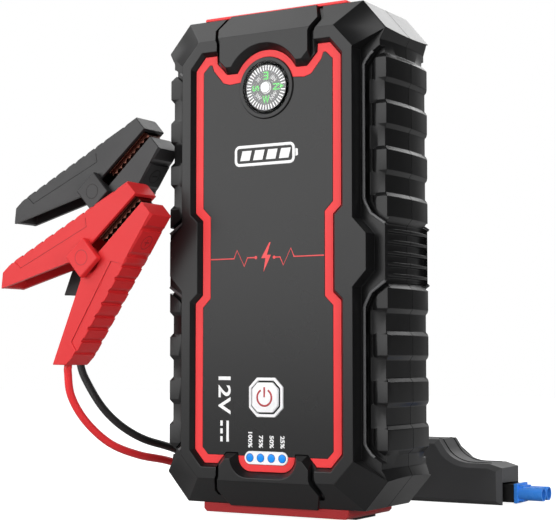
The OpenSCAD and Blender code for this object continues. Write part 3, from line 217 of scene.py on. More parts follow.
# leads
leadLook = {"radius": 1.6, "roundness": 5, "steps": 6}
routes = {  # in mm, from the clamp to the control box
    "red_lead": [[-81.191, -37.5, 73.94], [-84.465, -37.5, 68.427], [-84.65, -37.5, 57.929],
                 [-84.703, -37.5, 54.929], [-84.2, -36, 45.6], [-80.8, -31, 35.5],
                 [-75.4, -22, 26.3], [-69.8, -10, 21.1], [-63.8, 1.5, 18.4], [-60.5, 14, 14.5],
                 [-59.5, 28, 9.5], [-58.5, 42, 5], [-54.5, 55, 2.6], [-48, 65, 2.4],
                 [-40.5, 71.5, 4.2], [-34, 74.9, 7.4], [-28.4, 75.75, 9], [-25.4, 75.75, 9]],
    "black_lead": [[-90.691, -19, 102.44], [-93.965, -19, 96.927], [-94.15, -19, 86.429],
                   [-94.203, -19, 83.429], [-94, -19, 70], [-93, -19, 57.7], [-89.6, -18, 49.6],
                   [-83.5, -16, 40.1], [-77.8, -11, 32.7], [-71.5, -4, 27.2], [-67.1, 8, 23.5],
                   [-64.8, 20, 19.5], [-63.6, 34, 14.8], [-62, 48, 10.2], [-58.5, 61, 6.8],
                   [-52.5, 71.5, 5], [-45, 79, 5], [-36, 83.8, 7.2], [-28.4, 84.95, 9],
                   [-25.4, 84.95, 9]],
}


def eased(points):  # a smooth line through the inner points, and straight to both ends
    first, *inner, last = [Vector(p) for p in points]
    line = [first]
    for i in range(len(inner) - 1):
        a = inner[i - 1] if i else first
        b, c = inner[i], inner[i + 1]
        d = inner[i + 2] if i < len(inner) - 2 else last
        for k in range(leadLook["steps"]):
            t = k / leadLook["steps"]
            line.append(0.5 * (2 * b + (c - a) * t + (2 * a - 5 * b + 4 * c - d) * t * t
                               + (3 * b - a - 3 * c + d) * t ** 3))
    line += [inner[-1], last]
    return [p * mm for p in line]


def lead(name, slotName):  # the wire, where it leaves the control box, and its length
    line = eased(routes[name])
    line.reverse()
    curve = bpy.data.curves.new(name + "_wire", "CURVE")
    curve.dimensions = "3D"
    spline = curve.splines.new("POLY")
    spline.points.add(len(line) - 1)
    for point, place in zip(spline.points, line):
        point.co = (*place, 1)
    spline.use_smooth = True
    curve.bevel_depth = leadLook["radius"] * mm
    curve.bevel_resolution = leadLook["roundness"]
    curve.use_fill_caps = True
    obj = bpy.data.objects.new(name + "_wire", curve)
    bpy.context.scene.collection.objects.link(obj)
    curve.materials.append(paint[slotName])
    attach(obj, "lead_set")
    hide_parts(name)
    length = sum((b - a).length for a, b in zip(line, line[1:]))
    return obj, line[0], length


redWire = lead("red_lead", "lead_red")
blackWire = lead("black_lead", "rubber_black")
print("leads", round(redWire[2], 4), round(blackWire[2], 4))

# rounded copies of the CAD nodes
edgeCare = {"sharpFrom": 24,  # degrees between two faces
            "merge": 2e-6, "sliver": 1e-6, "noLength": 1e-9, "smallFace": 5e-9,  # m, and m2
            "room": 2.1, "short": 2, "moved": 0.9, "proud": 0.32, "clearance": 1.5,  # round widths
            "flat": 0.9995, "across": 0.6, "folded": -0.2,  # cosines
            "samples": (0.02, 0.25, 0.5, 0.75, 0.98), "clearSteps": 6,  # places along an edge
            "tries": 5}
normalCare = {"blend": 50, "smallBlend": 40,  # degrees, for nodes and for the small pieces
              "flat": 0.99995, "sameFace": 0.9945,  # cosines
              "widest": 0.85, "noArea": 1e-14}  # a share of the area round a corner


def islands(items, beside, alike=None):  # groups of items that touch, each like its group's first
    groups, taken = [], set()
    for seed in items:
        if seed in taken:
            continue
        taken.add(seed)
        group, stack = [], [seed]
        while stack:
            item = stack.pop()
            group.append(item)
            for other in beside(item):
                if other not in taken and (alike is None or alike(other, seed)):
                    taken.add(other)
                    stack.append(other)
        groups.append(group)
    return groups


def facesBeside(face):
    return (other for edge in face.edges for other in edge.link_faces)


def vertsBeside(vert):
    return (other for edge in vert.link_edges for other in edge.verts)


def corners(verts):  # the lowest and the highest X, Y and Z
    return [[pick(v.co[i] for v in verts) for i in range(3)] for pick in (min, max)]


def nearestOn(point, edge):
    a, run = edge.verts[0].co, edge.verts[1].co - edge.verts[0].co
    share = (point - a).dot(run) / max(run.length_squared, edgeCare["noLength"] ** 2)
    return a + run * max(0, min(1, share))


def withRoom(bm, edges, width):  # the edges whose round meets no other round across a face
    def flat(face, seed):
        return face.normal.dot(seed.normal) > edgeCare["flat"]

    patch = {}
    for group in islands(bm.faces, facesBeside, flat):
        patch.update((face, group[0]) for face in group)
    rims = {}
    for edge in edges:
        for face in edge.link_faces:
            rims.setdefault(patch[face], []).append(edge)

    def free(edge):
        run = edge.verts[1].co - edge.verts[0].co
        if run.length < edgeCare["noLength"]:
            return False
        for share in (0.5,) if run.length < edgeCare["short"] * width else edgeCare["samples"]:
            point = edge.verts[0].co + run * share
            for other in {o for face in edge.link_faces for o in rims[patch[face]]}:
                if any(v in edge.verts for v in other.verts):
                    continue
                gap = nearestOn(point, other) - point
                close = gap.length < edgeCare["room"] * width
                if close and abs(gap.dot(run)) < edgeCare["across"] * gap.length * run.length:
                    return False
        return True

    return [e for e in edges if free(e)]


def rounded(source, shape, width, segments):  # a copy with its sharp edges rounded
    sharp = math.radians(edgeCare["sharpFrom"])
    edges = [e for e in source.edges if len(e.link_faces) == 2 and e.calc_face_angle(0) > sharp]
    chosen = sorted(e.index for e in withRoom(source, edges, width))
    low, high = corners(source.verts)
    for attempt in range(edgeCare["tries"]):
        bm = source.copy()
        bm.edges.ensure_lookup_table()
        bmesh.ops.bevel(bm, geom=[bm.edges[i] for i in chosen], offset=width, offset_type="OFFSET",
                        segments=segments, profile=0.5, affect="EDGES", clamp_overlap=False,
                        loop_slide=False, material=-1)
        for vert in bm.verts:
            place, normal, _, away = shape.find_nearest(vert.co)
            above = (vert.co - place).dot(normal)
            if away > edgeCare["moved"] * width or above > edgeCare["proud"] * width:
                vert.co = place  # a corner too tight for the round goes back to the CAD surface
            vert.co = [max(low[i], min(high[i], vert.co[i])) for i in range(3)]
        bmesh.ops.dissolve_degenerate(bm, dist=edgeCare["sliver"], edges=bm.edges[:])
        bmesh.ops.triangulate(bm, faces=[f for f in bm.faces if len(f.verts) > 4],
                              quad_method="BEAUTY", ngon_method="BEAUTY")
        bm.normal_update()

        def against(face):
            nearest = shape.find_nearest(face.calc_center_median())[1]
            return nearest.dot(face.normal) < edgeCare["folded"]

        wrong = [f for f in bm.faces if f.calc_area() > edgeCare["smallFace"] and against(f)]
        if not wrong or attempt == edgeCare["tries"] - 1:
            return bm
        tree = KDTree(len(wrong) * 3)
        for i, vert in enumerate(v for f in wrong for v in f.verts[:3]):
            tree.insert(vert.co, i)
        tree.balance()
        source.edges.ensure_lookup_table()

        def clear(edge):  # an edge beside a face that folded over stays sharp
            a, b = edge.verts[0].co, edge.verts[1].co
            steps, least = edgeCare["clearSteps"], edgeCare["clearance"] * width
            return all(tree.find(a.lerp(b, k / steps))[2] > least for k in range(steps + 1))

        chosen = [i for i in chosen if clear(source.edges[i])]
        bm.free()


def dressed(node, width, segments, material):
    bm = bmesh.new()
    bm.from_mesh(nodes[node].data)
    bmesh.ops.remove_doubles(bm, verts=bm.verts[:], dist=edgeCare["merge"])
    bmesh.ops.recalc_face_normals(bm, faces=bm.faces[:])
    bm.edges.index_update()
    shape = BVHTree.FromBMesh(bm)
    made = rounded(bm, shape, width * mm, segments)
    mesh = easedNormals(fromBm(node + "_skin", made), shape=shape)
    return piece(node + "_skin", mesh, bodyOf[node], slotOf[node], (node,), material)


# a flat area keeps its one normal up to its edge, and a round blends
def easedNormals(mesh, limit=normalCare["blend"], shape=None):
    bm = bmesh.new()
    bm.from_mesh(mesh)
    bm.faces.ensure_lookup_table()
    own = [f.normal.copy() for f in bm.faces]
    if shape:
        for face in bm.faces:
            normal = shape.find_nearest(face.calc_center_median())[1]
            if normal and normal.dot(own[face.index]) > normalCare["sameFace"]:
                own[face.index] = normal

    def flat(face, seed):
        return own[face.index].dot(own[seed.index]) > normalCare["flat"]

    patch, areas = {}, []
    for group in islands(bm.faces, facesBeside, flat):
        patch.update((face.index, len(areas)) for face in group)
        areas.append(sum(face.calc_area() for face in group))
    together = math.cos(math.radians(limit))
    made = []
    for face in bm.faces:
        for loop in face.loops:
            seen = {}
            for other in loop.vert.link_faces:
                if own[other.index].dot(own[face.index]) > together:
                    seen.setdefault(patch[other.index], own[other.index])
            widest = max(seen, key=lambda k: areas[k])
            total = sum((n * areas[k] for k, n in seen.items()), Vector())
            if areas[widest] > normalCare["widest"] * sum(areas[k] for k in seen):
                total = seen[widest]
            known = total.length > normalCare["noArea"]
            made.append(total.normalized() if known else own[face.index])
    bm.free()
    for face in mesh.polygons:
        face.use_smooth = True
    mesh.normals_split_custom_set(made)
    return mesh


edgeLooks = [  # the width in mm and the steps of the round on each node's edges
    (0.25, 2, ("front_shell", "rear_shell")),
    (0.15, 2, ("front_panel", "rear_panel", "front_trim", "gauge_window")),
    (0.35, 3, ("button_ring", "power_button")),
    (0.3, 2, ("top_plate", "bottom_plate", "feet", "port_cover", "compass_seat", "case_screws")),
    (0.08, 1, ("lead_socket", "usb_a_port", "usb_c_port")),
    (0.1, 2, ("compass_card", "compass_dome", "gauge_lamps", "torch_lens", "torch_reflector",
              "torch_lamp")),
    (0.3, 3, ("box_shell", "box_base", "box_glands", "plug_collar", "plug_body")),
    (0.3, 2, ("red_cable_lever", "red_free_lever", "black_cable_lever", "black_free_lever")),
    (0.7, 3, ("red_clamp_caps", "black_clamp_caps")),
    (0.12, 2, tuple(f"{colour}_{n}" for colour in ("red", "black")
                    for n in ("cable_jaw", "free_jaw", "pivot_pin", "clamp_spring"))),
]
# the bottom plate's darker red is painted shade, and the control box's lighter black is painted
# light
ownPaint = {"compass_card": "dial_grey", "bottom_plate": "shaded_plate_red", "box_shell": "box_black_painted_light",
            "box_base": "box_black_painted_light"}  # the other nodes take the paint of their slot
skins = {}
for width, segments, members in edgeLooks:
    for n in members:
        skins[n] = dressed(n, width, segments, paint[ownPaint.get(n, slotOf[n])])
for n, node in nodes.items():
    if not node.hide_render:
        node.data.materials.clear()
        node.data.materials.append(paint[slotOf[n]])
print("nodes dressed", len(skins))


# helpers for the small pieces, which are all made in mm with Z out of the surface
def facing(at, turn=0):  # a place on the face, turned clockwise by some degrees
    c, s = math.cos(math.radians(turn)), math.sin(math.radians(turn))
    return Matrix(((c, s, 0, at[0] * mm), (0, 0, -1, at[1] * mm), (-s, c, 0, at[2] * mm),
                   (0, 0, 0, 1)))


def behind(at):  # a place on the back
    return Matrix(((-1, 0, 0, at[0] * mm), (0, 0, 1, at[1] * mm), (0, 1, 0, at[2] * mm),
                   (0, 0, 0, 1)))


def standing(at, normal, along):  # a place on any surface, with its X along a direction
    z = Vector(normal).normalized()
    y = z.cross(Vector(along)).normalized()
    x = y.cross(z)
    return Matrix([(x[i], y[i], z[i], at[i]) for i in range(3)] + [(0, 0, 0, 1)])


def asMesh(data):
    holder = bpy.data.objects.new("holder", data)
    bpy.context.scene.collection.objects.link(holder)
    depsgraph = bpy.context.evaluated_depsgraph_get()
    mesh = bpy.data.meshes.new_from_object(holder.evaluated_get(depsgraph))
    bpy.data.objects.remove(holder)
    bpy.data.curves.remove(data)
    return mesh


fineness = {"letter": 4, "stroke": 2, "circle": 40, "corner": 6, "dot": 16, "domeTurn": 48,
            "domeStep": 10, "merge": 1e-4}
lettering = {"extrude": 0.02, "deepen": 2, "bold": 0.02}
strokeSqueeze = 0.35


def words(text, height, width=None, bold=lettering["bold"]):  # centred letters, half sunk
    data = bpy.data.curves.new("words", "FONT")
    data.body = text
    data.extrude = lettering["extrude"]
    data.offset = bold
    data.resolution_u = fineness["letter"]
    data.fill_mode = "BOTH"
    mesh = asMesh(data)
    low, high = corners(mesh.vertices)
    grow = height / (high[1] - low[1])
    wide = width / (high[0] - low[0]) if width else grow
    centre = Matrix.Translation((-(low[0] + high[0]) / 2, -(low[1] + high[1]) / 2, 0))
    mesh.transform(Matrix.Diagonal((wide, grow, lettering["deepen"], 1)) @ centre)
    return mesh


def strokes(lines, radius, squeeze=strokeSqueeze, closed=False):  # round lines, half sunk
    data = bpy.data.curves.new("strokes", "CURVE")
    data.dimensions = "3D"
    data.bevel_depth = radius
    data.bevel_resolution = fineness["stroke"]
    data.use_fill_caps = not closed
    for line in lines:
        spline = data.splines.new("POLY")
        spline.points.add(len(line) - 1)
        for point, place in zip(spline.points, line):
            point.co = (place[0], place[1], place[2] if len(place) > 2 else 0, 1)
        spline.use_cyclic_u = closed
        spline.use_smooth = True
    mesh = asMesh(data)
    mesh.transform(Matrix.Diagonal((1, 1, squeeze, 1)))
    return mesh


def circle(radius, count=fineness["circle"], start=0, sweep=360, centre=(0, 0)):
    angles = [math.radians(start + sweep * i / count) for i in range(count + (sweep != 360))]
    return [(centre[0] + radius * math.cos(a), centre[1] + radius * math.sin(a)) for a in angles]


def box(left, low, right, high):
    return [(left, low), (right, low), (right, high), (left, high)]


def roundedBox(half, radius):
    outline = []
    for sx, sy, start in ((1, 1, 0), (-1, 1, 90), (-1, -1, 180), (1, -1, 270)):
        centre = (sx * (half[0] - radius), sy * (half[1] - radius))
        outline += circle(radius, fineness["corner"], start, 90, centre)
    return outline


def plate(outline, thick):  # a flat shape from its outline, standing on Z 0
    bm = bmesh.new()
    face = bm.faces.new([bm.verts.new((x, y, 0)) for x, y in outline])
    top = bmesh.ops.extrude_face_region(bm, geom=[face])
    raised = [g for g in top["geom"] if isinstance(g, bmesh.types.BMVert)]
    bmesh.ops.translate(bm, vec=(0, 0, thick), verts=raised)
    bmesh.ops.recalc_face_normals(bm, faces=bm.faces[:])
    return fromBm("plate", bm)


def dome(radius, rise, foot=0):  # a round cap on Z 0, with a straight foot below it
    bm = bmesh.new()
    profile = [(0, -foot), (radius, -foot)] if foot else [(0, 0)]
    for angle in range(0, 90, fineness["domeStep"]):
        turn = math.radians(angle)
        profile.append((radius * math.cos(turn), rise * math.sin(turn)))
    line = [bm.verts.new((r, 0, z)) for r, z in profile + [(0, rise)]]
    edges = [bm.edges.new(pair) for pair in zip(line, line[1:])]
    bmesh.ops.spin(bm, geom=line + edges, cent=(0, 0, 0), axis=(0, 0, 1), angle=math.tau,
                   steps=fineness["domeTurn"], use_merge=True, use_duplicate=False)
    bmesh.ops.remove_doubles(bm, verts=bm.verts[:], dist=fineness["merge"])
    bmesh.ops.recalc_face_normals(bm, faces=bm.faces[:])
    return fromBm("dome", bm)


def added(name, body, slotName, finish, parts):  # one piece from (mesh, place) pairs
    bm = bmesh.new()
    for mesh, place in parts:
        mesh.transform(place @ Matrix.Scale(mm, 4))
        bm.from_mesh(mesh)
        bpy.data.meshes.remove(mesh)
    mesh = easedNormals(fromBm(name, bm), normalCare["smallBlend"])
    return piece(name, mesh, body, slotName, material=paint[finish])


surfaces = {}


def spot(node, start, toward, along):  # where a line meets a CAD solid, standing on it
    if node not in surfaces:
        bm = bmesh.new()
        bm.from_mesh(nodes[node].data)
        surfaces[node] = BVHTree.FromBMesh(bm)
        bm.free()
    toward = Vector(toward)
    place, normal, _, _ = surfaces[node].ray_cast(Vector(start), toward.normalized())
    if place is None:
        raise ValueError(f"nothing under the mark on {node}")
    return standing(place, normal if normal.dot(toward) < 0 else -normal, along)


# compass
compass = {"centre": (0, 164.3), "front": -24.1, "ticks": 40, "tickFrom": 6.7, "tickTo": 8.6,
           "tickWidth": 0.33, "tickFlare": 1.15, "tickThick": 0.05,
           "letters": (("N", 0, 2.5), ("E", 90, 2.1), ("S", 180, 2.2), ("W", 270, 3.1)),
           "letterRadius": 4.6, "letterHeight": 3.0, "letterBold": 0.015,
           "smallLetters": (("NE", 45), ("SE", 135), ("SW", 225), ("NW", 315)),
           "smallRadius": 4.7, "smallHeight": 1.45,
           "arrow": [(6.3, -0.95), (7.9, 0), (6.3, 0.95)], "arrowThick": 0.06,
           "capRadius": 2.4, "capRise": 1.25}
dial = facing((compass["centre"][0], compass["front"], compass["centre"][1]))


def onDial(radius, bearing):  # a letter's place, with its foot towards the centre
    turn = math.radians(bearing)
    at = Matrix.Translation((radius * math.cos(turn) * mm, radius * math.sin(turn) * mm, 0))
    return dial @ at @ Matrix.Rotation(math.radians(bearing + 90), 4, "Z")


tick = compass["tickWidth"] / 2
flared = tick * compass["tickFlare"]
tickLine = [(compass["tickFrom"], -tick), (compass["tickTo"], -flared),
            (compass["tickTo"], flared), (compass["tickFrom"], tick)]
tickParts = []
for i in range(1, compass["ticks"]):  # the arrow takes the first one's place
    spin = Matrix.Rotation(math.tau * i / compass["ticks"], 4, "Z")
    tickParts.append((plate(tickLine, compass["tickThick"]), dial @ spin))
added("compass_ticks", "compass_card", "plastic_white", "ink_white", tickParts)
letterParts = [(words(text, compass["letterHeight"], width, compass["letterBold"]),
                onDial(compass["letterRadius"], bearing))
               for text, bearing, width in compass["letters"]]
letterParts.append((plate(compass["arrow"], compass["arrowThick"]), dial))
smallParts = [(words(text, compass["smallHeight"]), onDial(compass["smallRadius"], bearing))
              for text, bearing in compass["smallLetters"]]
added("compass_letters", "compass_card", "plastic_white", "ink_green", letterParts)
added("compass_small_letters", "compass_card", "plastic_white", "ink_grey", smallParts)
added("compass_cap", "compass_card", "plastic_white", "plastic_white",
      [(dome(compass["capRadius"], compass["capRise"]), dial)])

# power symbol on a shallow dish
power = {"centre": (0, 45.8), "front": -25.1, "dishRadius": 5.0, "dishRise": 0.22, "dishFoot": 0.1,
         "symbolRise": 0.19, "arc": 3.15, "arcFrom": 120, "arcSweep": 300, "stem": (0.1, 3.9),
         "line": 0.38}
onButton = facing((power["centre"][0], power["front"], power["centre"][1]))
added("button_dish", "power_button", "plastic_white", "plastic_white",
      [(dome(power["dishRadius"], power["dishRise"], power["dishFoot"]), onButton)])
onDish = onButton @ Matrix.Translation((0, 0, power["symbolRise"] * mm))
arc = circle(power["arc"], start=power["arcFrom"], sweep=power["arcSweep"])
stem = [(0, y) for y in power["stem"]]
added("power_symbol", "power_button", "trim_red", "symbol_red",
      [(strokes([arc], power["line"]), onDish), (strokes([stem], power["line"]), onDish)])

# charge gauge
panelFront = -23.8
gauge = {"front": -24.1, "height": 22.95, "lamps": (-7.125, -2.375, 2.375, 7.125),
         "lampRadius": 1.5, "lampRise": 0.2, "lampFoot": 0.05, "rim": 0.17,
         "labels": ("100%", "75%", "50%", "25%"), "lengths": (5.9, 4.75, 4.75, 4.75),
         "labelLow": 26.7, "labelHeight": 1.85, "labelBold": 0.03}
labelParts, rimParts, capParts = [], [], []
for x, text, length in zip(gauge["lamps"], gauge["labels"], gauge["lengths"]):
    label = words(text, gauge["labelHeight"], length, gauge["labelBold"])
    labelParts.append((label, facing((x, panelFront, gauge["labelLow"] + length / 2), 90)))
    onLamp = facing((x, gauge["front"], gauge["height"]))
    capParts.append((dome(gauge["lampRadius"], gauge["lampRise"], gauge["lampFoot"]), onLamp))
    rimParts.append((strokes([circle(gauge["lampRadius"])], gauge["rim"], closed=True), onLamp))
added("gauge_labels", "pack", "plastic_white", "ink_white", labelParts)
added("gauge_lamp_caps", "pack", "lamp_blue", "lamp_blue", capParts)
added("gauge_lamp_rims", "pack", "lamp_blue", "rim_blue", rimParts)

# rating with its direct current sign, and the battery mark
rating = {"x": -18.8, "top": 53.6, "height": 5.6, "length": 14.5, "text": "12V", "bold": 0.02,
          "signGap": 6.4, "signThick": 0.05, "bar": (-4, 0.9, 4, 2),
          "dashes": ((-4, -1.9, -2, -0.8), (-1, -1.9, 1, -0.8), (2, -1.9, 4, -0.8))}
textAt = facing((rating["x"], panelFront, rating["top"] - rating["length"] / 2), 90)
signAt = facing((rating["x"], panelFront, rating["top"] - rating["length"] - rating["signGap"]), 90)
markParts = [(words(rating["text"], rating["height"], rating["length"], rating["bold"]), textAt)]
markParts += [(plate(box(*sides), rating["signThick"]), signAt)
              for sides in (rating["bar"], *rating["dashes"])]

battery = {"centre": (-0.9, 138.5), "half": (12.9, 3.5), "round": 1.6, "line": 0.55,
           "lineSqueeze": 0.15, "contact": ((0.9, 1.5), (1.9, 1.2)), "thick": 0.07,
           "bars": 4, "firstBar": 2, "barPitch": 5.8, "barWidth": 4.2, "barSlant": 1,
           "barHalf": 1.9}
onBattery = facing((battery["centre"][0], panelFront, battery["centre"][1]))
end, (near, nearHalf), (far, farHalf) = battery["half"][0], *battery["contact"]
markParts.append((strokes([roundedBox(battery["half"], battery["round"])], battery["line"],
                          battery["lineSqueeze"], closed=True), onBattery))
markParts.append((plate([(end + near, -nearHalf), (end + far, -farHalf), (end + far, farHalf),
                         (end + near, nearHalf)], battery["thick"]), onBattery))
wide, slant, tall = battery["barWidth"], battery["barSlant"], battery["barHalf"]
for i in range(battery["bars"]):
    x = -end + battery["firstBar"] + i * battery["barPitch"]
    bar = [(x, -tall), (x + wide, -tall), (x + (wide + slant), tall), (x + slant, tall)]
    markParts.append((plate(bar, battery["thick"]), onBattery))
added("panel_marks", "pack", "plastic_white", "ink_white", markParts)

pulse = {"height": 98.9, "line": 0.24, "squeeze": 0.3, "dot": 0.62, "dotThick": 0.09,
         "left": [(-25.5, 0), (-14.6, 0), (-13.2, 3.2), (-9.9, -3.1), (-8.5, 0.15), (-4.7, 0.15)],
         "right": [(3.5, 0), (6.1, 0), (7.5, -3.1), (10.8, 3.2), (12.2, 0), (25.1, 0)],
         "bolt": [(1.35, 104.7), (-2.3, 98.7), (-0.35, 98.7), (-1.25, 93.5), (2.1, 99.9),
                  (0.25, 99.9), (1.9, 104.7)], "boltThick": 0.07}
onPulse = facing((0, panelFront, pulse["height"]))
boltLine = [(x, z - pulse["height"]) for x, z in pulse["bolt"]]
pulseParts = [strokes([pulse["left"], pulse["right"]], pulse["line"], pulse["squeeze"]),
              plate(boltLine, pulse["boltThick"])]
pulseParts += [plate(circle(pulse["dot"], fineness["dot"], centre=end), pulse["dotThick"])
               for end in (pulse["left"][-1], pulse["right"][0])]
added("bolt_and_pulse", "pack", "trim_red", "ink_red", [(part, onPulse) for part in pulseParts])

# the bead beside each grip, front and back: a light grey line, a painted highlight along the lit
# edge of the grip's recess
highlightBead = {"front": 18.9, "middle": 99.6, "top": 194.6, "radius": 0.6, "squeeze": 0.7,
        "low": [(48.0, 10.6), (42.1, 14.6), (39.7, 19.0), (39.3, 20.4)],
        "high": [(39.3, -24.7), (39.9, -23.4), (42.0, -20.8), (43.4, -19.8)]}
highlightLine = highlightBead["low"] + [(x, highlightBead["top"] - highlightBead["middle"] + z) for x, z in highlightBead["high"]]
highlightLines = [[(sx * x, sz * z) for x, z in highlightLine] for sx in (-1, 1) for sz in (-1, 1)]
added("grip_highlight_beads", "pack", "case_black", "grey_lines_and_painted_highlight",
      [(strokes(highlightLines, highlightBead["radius"], highlightBead["squeeze"]), place)
       for place in (facing((0, -highlightBead["front"], highlightBead["middle"])),
                     behind((0, highlightBead["front"], highlightBead["middle"])))])

# the border and grip lines on the back
rear = {"front": 23.8, "centre": 99.6, "half": (20, 62), "round": 3, "border": 0.3,
        "line": 0.45, "squeeze": 0.7, "lines": 7, "firstLine": 7, "pitch": 3.4, "reach": 14}
onBack = behind((0, rear["front"], rear["centre"]))
gripLines = []
for side in (-1, 1):
    for i in range(rear["lines"]):
        z = side * (rear["half"][1] - rear["firstLine"] - i * rear["pitch"])
        gripLines.append([(-rear["reach"], z), (rear["reach"], z)])
border = roundedBox(rear["half"], rear["round"])
added("back_lines", "pack", "panel_black", "grey_lines_and_painted_highlight",
      [(strokes([border], rear["border"], rear["squeeze"], closed=True), onBack),
       (strokes(gripLines, rear["line"], rear["squeeze"]), onBack)])
print("face and back marks done")

# clamps
clamp = {"tilt": 41.5, "pivots": {"red": (-70.6, -37.5, 100), "black": (-80.1, -19, 128.5)},
         "outside": 40, "markX": 21.8, "markRadius": 2.9, "markLine": 0.2, "signHalf": 1.5,
         "signLine": 0.3, "capFront": 10.05, "ringRadius": 2.95, "ringLine": 0.16, "ringRise": 0.06,
         "seam": [(-27.1, 20), (8.2, 9.2), (10.2, 12.2)], "seamLine": 0.16, "seamLift": 0.3,
         "wallAt": (-5, 14)}  # outside and wallAt are where the surfaces are looked for
clampNodes = ("cable_lever", "free_lever", "cable_jaw", "free_jaw", "pivot_pin", "clamp_caps",
              "clamp_spring")
clampPieces = {colour: [skins[f"{colour}_{n}"] for n in clampNodes] for colour in clamp["pivots"]}
tiltCos, tiltSin = math.cos(math.radians(clamp["tilt"])), math.sin(math.radians(clamp["tilt"]))
alongLever, outOfLever = Vector((tiltCos, 0, tiltSin)), Vector((tiltSin, 0, -tiltCos))


def inClamp(pivot, x, y, z):  # from a cable lever's own axes to the world
    return Vector((pivot[0] + x * tiltCos + z * tiltSin, pivot[1] + y,
                   pivot[2] + x * tiltSin - z * tiltCos)) * mm


def springHalf(colour, pivot, side):  # the coil and leg on one side of the jaw line
    bm = bmesh.new()
    bm.from_mesh(skins[f"{colour}_clamp_spring"].data)
    others = []
    for group in islands(bm.verts, vertsBeside):
        centre = sum((v.co for v in group), Vector()) / len(group)
        if (centre - Vector(pivot) * mm).dot(outOfLever) * side < 0:
            others += group
    bmesh.ops.delete(bm, geom=others, context="VERTS")
    return easedNormals(fromBm(f"{colour}_spring_half", bm))


def setCapsBack(colour, pivot):  # by the rise of the rings on them
    for vert in skins[f"{colour}_clamp_caps"].data.vertices:
        off = vert.co.y / mm - pivot[1]
        if abs(off) > clamp["capFront"]:
            vert.co.y -= math.copysign(clamp["ringRise"], off) * mm


# the ring and sign are drawn darker than the lever: painted shade of engraved lines
def polarityMark(colour, pivot):  # a plus on the red clamp, a minus on the black one
    start = inClamp(pivot, clamp["markX"], 0, clamp["outside"])
    place = spot(f"{colour}_cable_lever", start, -outOfLever, alongLever)
    half = clamp["signHalf"]
    sign = [[(-half, 0), (half, 0)]] if colour == "red" else []
    sign.append([(0, -half), (0, half)])
    ring = strokes([circle(clamp["markRadius"])], clamp["markLine"], closed=True)
    return added(f"{colour}_polarity_mark", "lead_set", f"clamp_{colour}", f"mark_{colour}",
                 [(ring, place), (strokes(sign, clamp["signLine"]), place)])


# the rings are drawn darker than the caps: painted shade of a groove
def capRings(colour, pivot):
    rings = []
    for side in (-1, 1):
        start = inClamp(pivot, 0, side * clamp["outside"], 0)
        place = spot(f"{colour}_clamp_caps", start, (0, -side, 0), alongLever)
        place.translation.y -= side * clamp["ringRise"] * mm
        ring = strokes([circle(clamp["ringRadius"])], clamp["ringLine"], closed=True)
        rings.append((ring, place))
    return added(f"{colour}_cap_rings", "lead_set", f"clamp_{colour}", f"mark_{colour}", rings)


# the seams are drawn darker than the lever: painted shade of a groove
def leverSeam(colour, pivot, member, body, sense, lift):  # on both walls of a lever
    parts = []
    for side in (-1, 1):
        x, z = clamp["wallAt"]
        start = inClamp(pivot, x, side * clamp["outside"], sense * z)
        wall = spot(f"{colour}_{member}", start, (0, -side, 0), alongLever)
        origin = inClamp(pivot, 0, 0, 0)
        origin.y = wall.translation.y + side * lift * mm
        line = [(x, z * side * sense) for x, z in clamp["seam"]]
        parts.append((strokes([line], clamp["seamLine"], squeeze=1),
                      standing(origin, (0, side, 0), alongLever)))
    return added(f"{colour}_{member}_seam", body, f"clamp_{colour}", f"mark_{colour}", parts)


for colour, pivot in clamp["pivots"].items():
    fixed, turning = springHalf(colour, pivot, 1), springHalf(colour, pivot, -1)
    fixed.materials.append(paint["steel"])
    skins[f"{colour}_clamp_spring"].data = fixed
    lever = f"{colour}_clamp_lever"
    clampPieces[colour].append(piece(f"{colour}_spring_free_leg", turning, lever, "steel"))
    setCapsBack(colour, pivot)
    clampPieces[colour] += [
        polarityMark(colour, pivot), capRings(colour, pivot),
        leverSeam(colour, pivot, "cable_lever", "lead_set", 1, 0),
        leverSeam(colour, pivot, "free_lever", lever, -1, clamp["seamLift"])]
print("clamps marked")

# the two lines in the hollow of the control box, drawn darker than the box as painted shade of
# grooves
boxLines = {"rows": (75.5, 86.5), "from": 26, "to": 50, "above": 60, "radius": 0.26}
hollowParts = []
for y in boxLines["rows"]:
    line = []
    for x in range(boxLines["from"], boxLines["to"] + 1):
        start = (x * mm, y * mm, boxLines["above"] * mm)
        line.append(spot("box_shell", start, (0, 0, -1), (1, 0, 0)).translation / mm)
    hollowParts.append((strokes([line], boxLines["radius"], squeeze=1), Matrix.Identity(4)))
added("box_grip_lines", "lead_set", "plastic_black", "mark_black", hollowParts)

print("box grip lines added")

# stage
floorLook = {"half": 1.6, "colour": (0.38, 0.38, 0.38), "rough": 0.9, "shine": 0.1,
             "glow": 0.96, "inGloss": 0.15}


